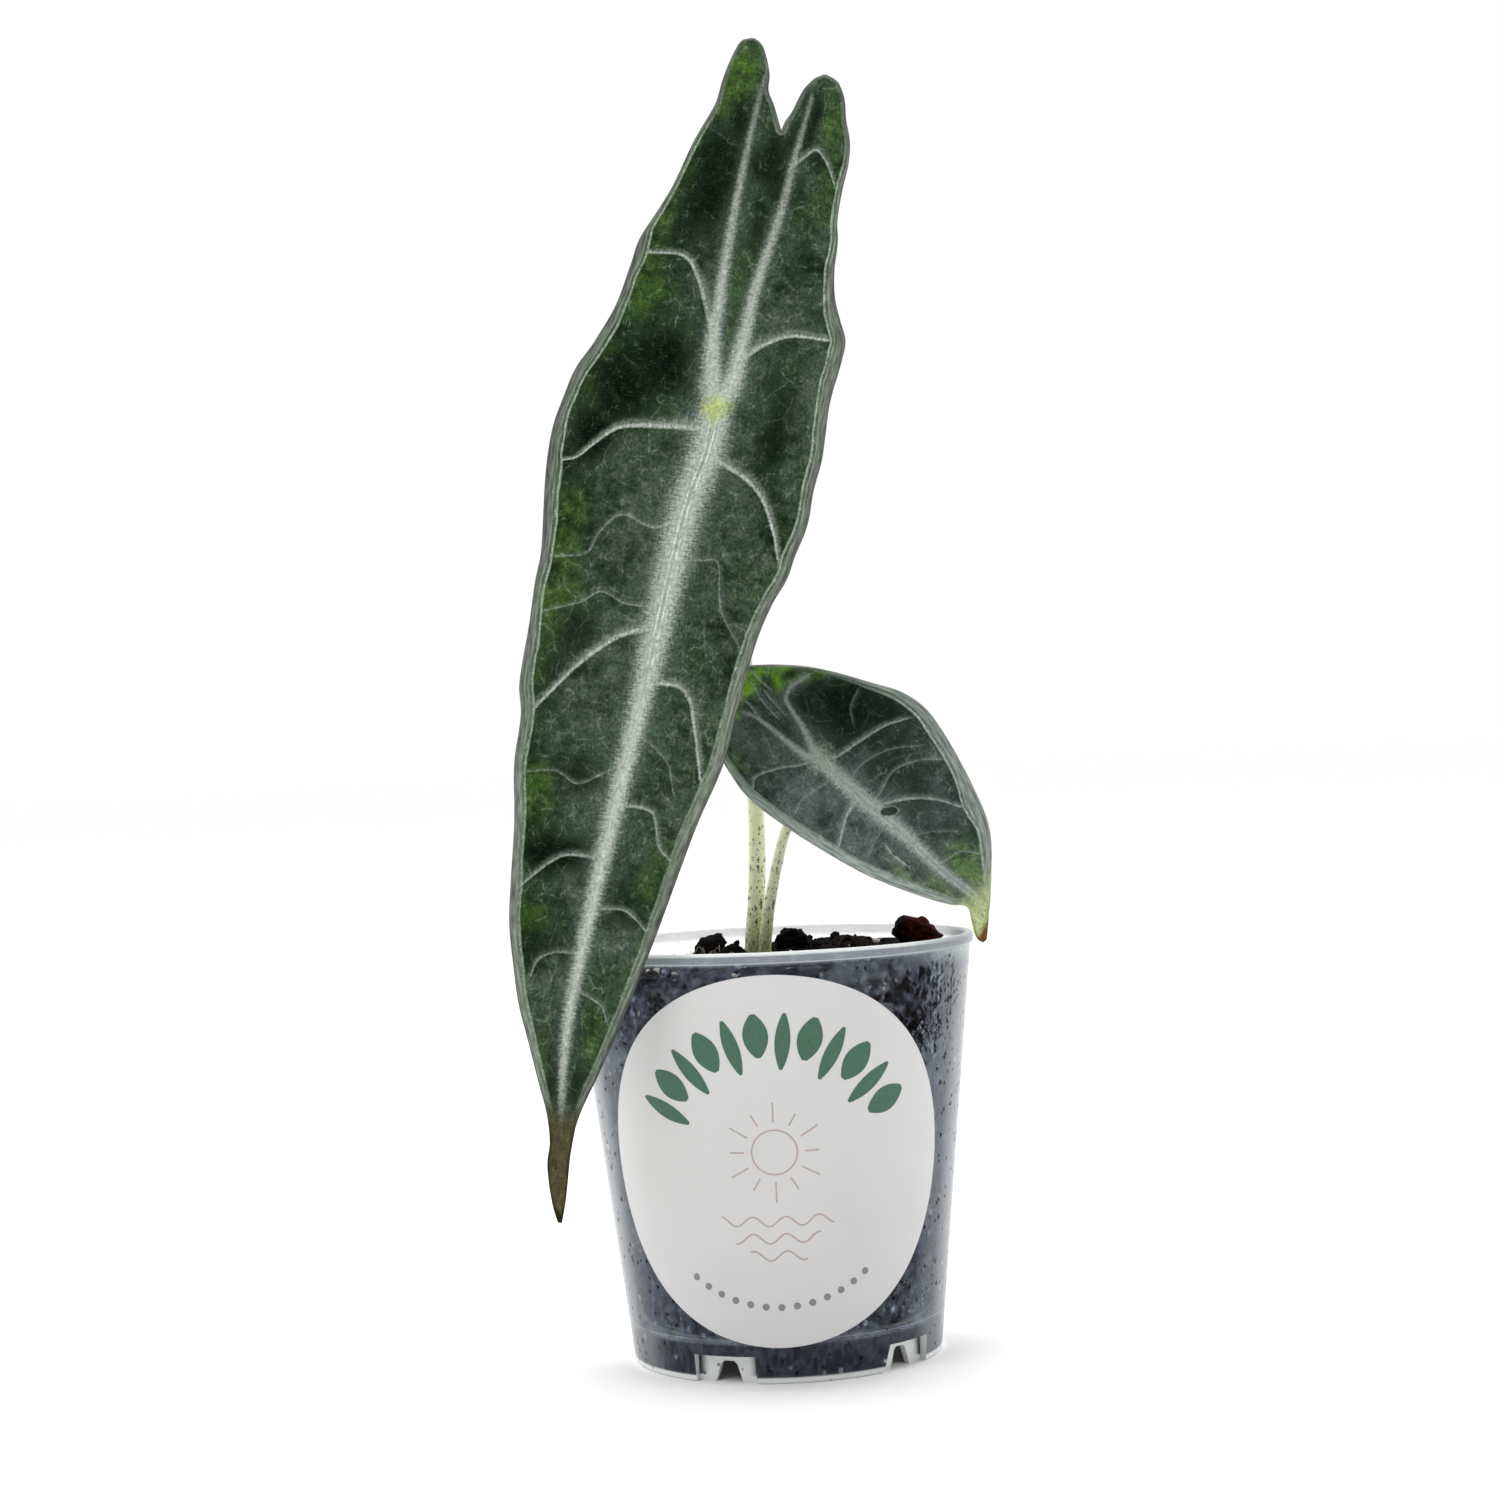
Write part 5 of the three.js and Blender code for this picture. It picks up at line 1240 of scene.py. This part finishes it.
# Small blade: the younger leaf, blue-green and short, grown on its stalk and leaning out to the
# right over the rim. It is folded along its midrib like a shallow boat and has a pale drip tip.
SMALL_LEAF = {
    "joint": SMALL_JOINT,
    "lean": SMALL_LEAN,
    "left": [(-16.6, -4.6), (-15, -7.4), (-11.5, -10), (-7.6, -11), (-2.8, -11.5), (3.3, -10.5),
             (9.9, -8.7), (16.7, -6.4), (23.1, -3.3), (28, -0.3), (29.3, 1), (30.2, 1.1), (31.2, 0.5),
             (32.2, -0.1), (33.2, -0.6), (34.2, -0.8), (34.9, -0.5)],
    "right": [(-17, 1.6), (-14.4, 4.6), (-11.1, 7.8), (-7.2, 10.6), (-3.1, 13.1), (0.6, 15.3),
              (4, 16.3), (7.5, 16.2), (14.8, 14.6), (21.2, 12.5), (24, 11.1), (26.5, 9.1), (28.7, 7),
              (31.2, 4.5), (32.6, 2.9), (33.6, 1.7), (34.9, 0.2)],
    "midrib": [(-17, -2.7), (-14.4, -2.3), (-8, -1.2), (0, 0), (8, 0.5), (15.9, 1.5), (24, 2.1),
               (29, 2.9), (32, 2.2), (34.9, -0.2)],
    "notch": -14.4,
    "notch_left": [(-16.6, -3.8), (-15.6, -2.9), (-14.4, -2.3)],
    "notch_right": [(-17, -1), (-15.7, -1.7), (-14.4, -2.3)],
    "rows": 170,
    "lobe_rows": 20,
    "columns": 56,
    "lobe_left": [(0, 0), (-1.2, -1.5), (-1.8, -4.9), (-2.3, -8.4), (-2.9, -10.8), (-3.6, -12.1)],
    "lobe_right": [(0, 0), (1.2, -4.2), (1.8, -7.5), (2.2, -9.3), (3.1, -10), (4.6, -10.3),
                   (6.9, -9.9)],
    "band": [(-14, 0.35), (-6, 0.4), (0, 0.75), (6, 1.2), (12, 1.3), (18, 1), (27, 0.7), (33, 0.4)],
    "silver": [(-13, 0.2), (-10, 0.45), (-4, 0.75), (4, 0.95), (26, 0.85), (31, 0.3)],
    "rib_height": [(-16, 0.3), (0, 0.75), (18, 0.5), (34, 0.25)],
    "veins": [
        (0.4, 0.25, 0.55, [(0.4, 0.6), (1.5, 1.6), (6, 2.3), (10.2, 3.1), (13.2, 4.4)]),
        (0.35, 0.25, 0.5, [(-0.4, -0.2), (-2.3, -0.7), (-5.4, -2.7), (-8.8, -4), (-10, -3.1)]),
        (0.3, 0.2, 0.24, [(0.8, 9.9), (2.5, 9.9), (6.7, 8.7), (10.4, 10), (12.8, 12)]),
        (0.4, 0.25, 0.52, [(0.9, 10.6), (2, 11), (6, 13.4), (8.7, 16.2), (10.2, 18.8)]),
        (0.3, 0.2, 0.26, [(1.9, 22.4), (3.1, 22.9), (5.9, 23.5), (7.9, 25.8)]),
        (0.3, 0.2, 0.26, [(0.1, 3.6), (-2.3, 3.4), (-5.6, 2.9), (-8.6, 3.8)]),
        (0.5, 0.25, 0.7, [(0.4, 7.8), (-0.8, 8.3), (-3.1, 9.1), (-6.3, 11.1)]),
        (0.3, 0.2, 0.18, [(0.6, 13.5), (-2.4, 14.3), (-4.8, 15.3)]),
        (0.3, 0.2, 0.14, [(10.8, -3.3), (8.4, -2.2), (7.2, -0.4)]),
        (0.35, 0.2, 0.4, [(-2.4, -10.8), (-2.3, -12.3), (-2.3, -13.2)]),
        (0.3, 0.2, 0.35, [(1.3, -16.2), (1.3, -14.5), (1.5, -12.1)]),
        (0.3, 0.2, 0.3, [(0.7, -12.4), (0.6, -10.5), (0.6, -7.9)]),
        (0.3, 0.2, 0.3, [(0.1, -14.4), (-0.5, -11.5), (-0.5, -8.2)]),
        (0.3, 0.2, 0.18, [(0.9, 5.4), (4.6, 5), (8.6, 6.2), (12, 8.6)]),
        (0.3, 0.2, 0.16, [(1.7, 17), (4.6, 18.6), (7.4, 21)]),
        (0.2, 0.2, 1.2, [(-1.5, 17.8), (-1.2, 19.5)]),
        (0.2, 0.2, 1.1, [(-1.5, 16.1), (-1.5, 16.6)]),
    ],
    "strong": 0.5,
    # Soft patches: painted sheen, mostly on the lower left half; painted light shining through along the top,
    # with yellow-green spots near the tip; and painted shade on the upper right half.
    "bloom_and_sheen": [(-6.6, 4.5, 6.4, 8.5, 1.5), (-4.4, 14.5, 5, 8, 1.5), (-4.6, -3, 5, 5, 0.9),
              (-1.4, -1.4, 1.8, 2, 0.8), (-0.8, 21.5, 3.4, 5, 1), (10.6, 16.5, 3.6, 4.5, 0.9),
              (12.8, 12.4, 2, 3, 0.9), (1.4, -5, 1.4, 3, 0.7), (-6, -12, 3, 2.5, 0.8),
              (6.4, 25.4, 2.4, 2.4, 0.7), (3.4, -9, 1.4, 1.6, 0.8), (-8, -9.6, 2, 2.4, 1.3),
              (-4.4, 8.6, 2.6, 3, 1.5), (7, 25.6, 2, 2, 1.2), (1, 21, 2.6, 2.6, 1.2),
              (0.6, 26.4, 1.4, 2, 1.3), (-3.4, -13.4, 2.6, 1.8, 1), (4, -10, 1.6, 1.4, 1),
              (-4.2, 9, 2, 3, 1.6)],
    "fresh_and_glow": [(-0.2, -15.6, 5.6, 3, 1.9), (3.4, -12.8, 3, 2.2, 1.3), (-5, -13.8, 2, 1.8, 1.2),
              (8.4, -9.7, 2.8, 1.2, 1.2), (12.2, -6, 2.4, 1.3, 1.2), (14.6, -2.4, 1.3, 2.4, 1),
              (5.6, 25, 2.6, 3, 0.75), (0, 26.4, 1.8, 3.4, 0.65), (-2.6, 21.4, 1.4, 4, 0.35),
              (-9, -7.5, 1.2, 2.2, 0.35)],
    "painted_shade": [(7, -8, 2.2, 1.8, 0.8), (12, 0.4, 3, 3.4, 0.9), (7.6, 13.4, 2.4, 4, 0.5),
             (8.2, -2.8, 5.4, 5.6, 1.2), (4.4, -6.6, 1.8, 2.4, 0.8), (5, -11.8, 1.4, 0.8, 0.9),
             (1.8, -13, 1, 1.4, 0.7), (4, 0, 2.4, 1.4, 0.6), (9, 7, 3, 2, 0.4), (8.6, 14, 3, 5, 0.2)],
    "rim_left": [(-17, 0.5), (-10, 0.9), (0, 1.4), (14, 1.5), (24, 1.4), (30, 0.6), (34.5, 0.3)],
    "rim_right": [(-17, 0.4), (-8, 0.6), (0, 1.2), (4, 1.7), (10, 1.8), (15, 1.8), (17.5, 2.1),
                  (19.5, 2.5), (24, 1.6), (28, 1.2), (32, 0.6), (34.9, 0.3)],
    "pale_left": [(-17, 0.2), (-8, 0.9), (2, 1.6), (24, 1.5), (30, 0.6)],
    "pale_right": [(-17, 0), (-2, 0.1), (8, 0.5), (20, 0.8), (30, 0.8)],
    "dark_left": [(-17, 0.2), (35, 0.2)],
    "dark_right": [(-17, 0), (35, 0.2)],
    "line_left": [(-17, 0.2), (0, 0.5), (30, 0.3)],
    "line_right": [(-17, 0), (-4, 0.3), (4, 1), (24, 1), (30, 0.4)],
    "tip_start": 26.5,
    "tip_end": 34.9,
    # An old bite, healed dark.
    "hurt": [(1.9, 12.3, 0.9, 0.7, 1.5), (2.3, 12.6, 0.9, 0.8, 1.5), (2.7, 12.9, 0.8, 0.7, 1.5)],
}


def small_leaf_depth(across, q, margin, side):
    """The blade leans up to the light, folded along its midrib, with its margins rolled back."""
    fall = np.where(q > 0, -0.48 * q + 0.003 * q * q, -0.48 * q - 0.012 * q * q)
    fold = 0.3 - 0.3 * np.sqrt(across * across + 1)
    wave = 0.5 * margin ** 2 * np.sin(2 * np.pi * q / 17 + np.where(side < 0, 0, 1.8))
    return fall + 0.32 * across + fold + 0.9 * margin ** 4 + wave


small_blade = blade("small_leaf_blade", SMALL_LEAF, small_leaf_depth)
small_blade.data.materials.append(blade_material("small_blade_grown", {
    "deep": "#1c2d25", "green": "#2d4037", "olive": "#36433a", "bloom_and_sheen": "#626d6a", "warm_bloom_and_sheen": "#5f5e60",
    "painted_shade": "#081a10", "fresh_and_glow": "#73a32a", "net": "#7b8b80", "vein": "#a3b3a8", "rim": "#76837a",
    "rim_light": "#a3ada6", "rim_dark": "#5b6660", "rim_edge": "#98909a", "silver_dull": "#828f88",
    "silver": "#aab5ae", "centre": "#aab5ae", "joint": "#9fa99c", "tip": "#b1c087", "tip_light": "#c8d2a0",
    "tip_end": "#6a4a1c", "tip_line": "#93a060", "hurt": "#1d251c", "hurt_rim": "#8d988c",
    "back": "#8a9c84", "back_dark": "#748872", "back_vein": "#b0be98", "back_rim": "#9a9096",
}, 0.7))
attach(small_blade, "root")
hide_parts("blade_small_leaf")

# Root hairs and peat fibres: fine dry threads, bent into low arches. They stick out of the soil
# round the foot of the stalks.
FIBRES = 12
FIBRE_MIDDLE = [-8, -3, 0]
FIBRE_RADIUS = 0.04
threads = []
for _ in range(FIBRES):
    azimuth = 2 * math.pi * draw.random()
    start = np.array(FIBRE_MIDDLE) + around(7 * draw.random(), azimuth, 0)
    end = start + around(2 + 3 * draw.random(), 2 * math.pi * draw.random(), 0)
    start[2], end[2] = soil_height(*start[:2]), soil_height(*end[:2])
    top = (start + end) / 2 + [0, 0, 1 + 2.2 * draw.random()]
    line = flowing([start, (start + top) / 2 + [0, 0, 0.6], top, end], 0.3)
    threads.append(skin(tube(line, np.full(len(line), FIBRE_RADIUS), 6)))
fibres = solid("root_hairs", *gathered(threads), sharp=80)
# Root fibre: pale straw brown, dry and dull.
fibre_skin, tree, shader = start_material("root_hair_dry", {"Roughness": 0.7})
tint = noisy(add(tree, "TexCoord", out="Object"), 1.5)
tree.links.new(mix(tint, "#6b6252", "#b9b09c"), shader.inputs["Base Color"])
fibres.data.materials.append(fibre_skin)
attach(fibres, "root")

# Label: a round sticker of white paper, 54 mm across, rolled onto the front of the cone. Its print
# is a plain garden pattern in green, pinkish and grey ink.
LABEL_RADIUS = 26.9
LABEL_CENTRE = 32.1
LABEL_AZIMUTH = -2  # degrees from the front
LABEL_LIFT = 0.15
LABEL_THICKNESS = 0.2
LABEL_SIDES = 180
INK = 0.03
FINE_LINE = 0.22
SUN = (0, 1.5)
SUN_RADIUS = 3.2
DOT_ARC = 21


def on_pot(across, up, lift):
    """Points of a flat sheet rolled onto the cone, at a distance off its wall."""
    slope = math.atan(POT_FLARE)
    apex = POT_FOOT_RADIUS / POT_FLARE
    middle = (LABEL_CENTRE + apex) / math.cos(slope)
    azimuth = math.radians(LABEL_AZIMUTH) + np.arctan2(across, middle + up) / math.sin(slope)
    z = np.hypot(across, middle + up) * math.cos(slope) - apex
    return around(pot_radius(z) + lift, azimuth, z)


def disc_rings(radii, lift):
    angles = np.linspace(0, 2 * np.pi, LABEL_SIDES, endpoint=False)
    return [on_pot(r * np.sin(angles), r * np.cos(angles), lift) for r in radii]


paper_radii = np.linspace(0.3, LABEL_RADIUS, 40)
outer_lift = LABEL_LIFT + LABEL_THICKNESS
paper_rings = disc_rings(paper_radii, LABEL_LIFT) + disc_rings(paper_radii[::-1], outer_lift)
label = solid("paper_label", *skin(paper_rings))


def ink_stroke(path, widths):
    """Raised film of ink along a path on the label, as wide at each point as given."""
    path = np.asarray(path, float)
    ways = np.gradient(path, axis=0)
    ways /= np.linalg.norm(ways, axis=1)[:, None]
    off = np.column_stack([-ways[:, 1], ways[:, 0]]) * np.asarray(widths)[:, None] / 2
    shares = np.linspace(-1, 1, 7)
    corners = [(path + off * share, outer_lift - INK) for share in shares]
    corners += [(path + off * share, outer_lift + INK) for share in shares[::-1]]
    return skin(np.stack([on_pot(edge[:, 0], edge[:, 1], lift) for edge, lift in corners], axis=1))


def fine_line(path):
    return ink_stroke(path, np.full(len(path), FINE_LINE))


def circle(middle, radius, start=0, end=360, steps=48):
    angles = np.radians(np.linspace(start, end, steps))
    return np.column_stack([middle[0] + radius * np.sin(angles), middle[1] + radius * np.cos(angles)])


def seed_shape(degrees, low, high, width):
    """Seed standing on an arc: pointed at both ends."""
    share = np.linspace(0, 1, 17)
    reach = low + (high - low) * share
    turn = math.radians(degrees)
    return ink_stroke(np.column_stack([reach * math.sin(turn), reach * math.cos(turn)]),
                      width * np.sin(np.pi * (0.04 + 0.92 * share)) ** 0.8)


green_print = [seed_shape(turn, 15.2 if i % 2 else 13.4, 21.5, 3.6 if i % 2 else 2.2)
               for i, turn in enumerate(range(-66, 67, 12))]
pink_print = [fine_line(circle(SUN, SUN_RADIUS))]
for turn in range(0, 360, 30):
    reaches = np.linspace(4.3, 6.3 if turn % 60 else 7.2, 6)
    pink_print.append(fine_line([circle(SUN, reach, turn, turn, 1)[0] for reach in reaches]))
for low, half in ((-8.5, 8), (-11, 6), (-13.5, 4)):
    along = np.linspace(-half, half, 60)
    pink_print.append(fine_line(np.column_stack([along, low + 0.7 * np.sin(along * 1.35)])))
grey_print = []
for turn in range(144, 217, 6):
    middle = circle((0, 0), DOT_ARC, turn, turn, 1)[0]
    reach = np.linspace(-0.5, 0.5, 13)
    dot = np.column_stack([middle[0] + reach, np.full(13, middle[1])])
    grey_print.append(ink_stroke(dot, 2 * np.sqrt(0.26 - reach ** 2)))

# Coated paper, die cut: plain white, satin, its fibres only just felt.
label_paper, tree, shader = start_material("paper_coated_white", {
    "Roughness": 0.5, "Specular IOR Level": 0.35,
})
spot = add(tree, "TexCoord", out="Object")
coat(tree, shader, mix(noisy(spot, 14), "#d1d1d1", "#dad9d9"), noisy(spot, 0.35, 4), 0.02, 0.3)
label.data.materials.append(label_paper)
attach(label, "root")
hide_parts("label")


def ink_material(name, colour, faded):
    """Offset printing ink on paper: flat colour, slightly uneven where the paper took it."""
    made, tree, shader = start_material(name, {"Roughness": 0.45})
    take = noisy(add(tree, "TexCoord", out="Object"), 0.5, 3)
    tree.links.new(mix(take, colour, faded), shader.inputs["Base Color"])
    return made


for name, strokes, colour, faded in (
    ("label_print_green", green_print, "#2c5440", "#42705a"),
    ("label_print_pink", pink_print, "#a8908c", "#c3b0ac"),
    ("label_print_grey", grey_print, "#77777a", "#8c8c8f"),
):
    ink = solid(name, *gathered(strokes))
    ink.data.materials.append(ink_material(name + "_offset", colour, faded))
    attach(ink, "root")

# Studio: a plain white floor that runs on as far as the camera sees, and a white surround that is
# dimmer on the camera's side. A big soft light hangs above, one stands at the upper left, and a
# weaker one at the right.
FLOOR_RADIUS = 12  # metres
AIM = Vector((0, 0, 0.1))
work = bmesh.new()
bmesh.ops.create_circle(work, cap_ends=True, radius=FLOOR_RADIUS, segments=64)
floor_mesh = bpy.data.meshes.new("floor")
work.to_mesh(floor_mesh)
work.free()
floor = placed("floor", floor_mesh)
# Matt paint, rolled on: an even bright white with hardly any gloss.
floor_paint, tree, shader = start_material("floor_matt_white", {
    "Base Color": linear("#f6f6f5"), "Roughness": 0.9, "Specular IOR Level": 0.1,
})
floor.data.materials.append(floor_paint)

for name, place, size, power in (
    ("soft_light_left", (-0.55, -0.5, 0.75), 0.6, 3.3),
    ("soft_light_right", (0.7, -0.35, 0.5), 0.5, 1.2),
    ("soft_light_top", (0, 0.1, 1.4), 1.2, 6.0),
):
    light = bpy.data.lights.new(name, "AREA")
    light.size = size
    light.energy = power
    lamp = placed(name, light)
    lamp.location = place
    lamp.rotation_euler = (AIM - lamp.location).to_track_quat("-Z", "Y").to_euler()

world = bpy.data.worlds.new("studio")
bpy.context.scene.world = world
world.use_nodes = True
tree = world.node_tree
tree.nodes.clear()
direction = add(tree, "TexCoord", out="Generated")
depth = add(tree, "SeparateXYZ", {0: direction}, out="Y")
surround = ramp(depth, -0.15, 0.5, 2.3, 0.25)
# Gloss mirrors a dimmer surround, as if it had been flagged off, so that edges don't burn out.
glossy = add(tree, "LightPath", out="Is Glossy Ray")
surround = rise(glossy, 0, 1, times(surround, 0.4), surround)
seen = add(tree, "LightPath", out="Is Camera Ray")
glow = add(tree, "Background", {"Color": (1, 1, 1, 1), "Strength": rise(seen, 0, 1, 1.0, surround)})
add(tree, "OutputWorld", {"Surface": glow}, out=None)
bpy.context.scene.view_settings.view_transform = "Standard"
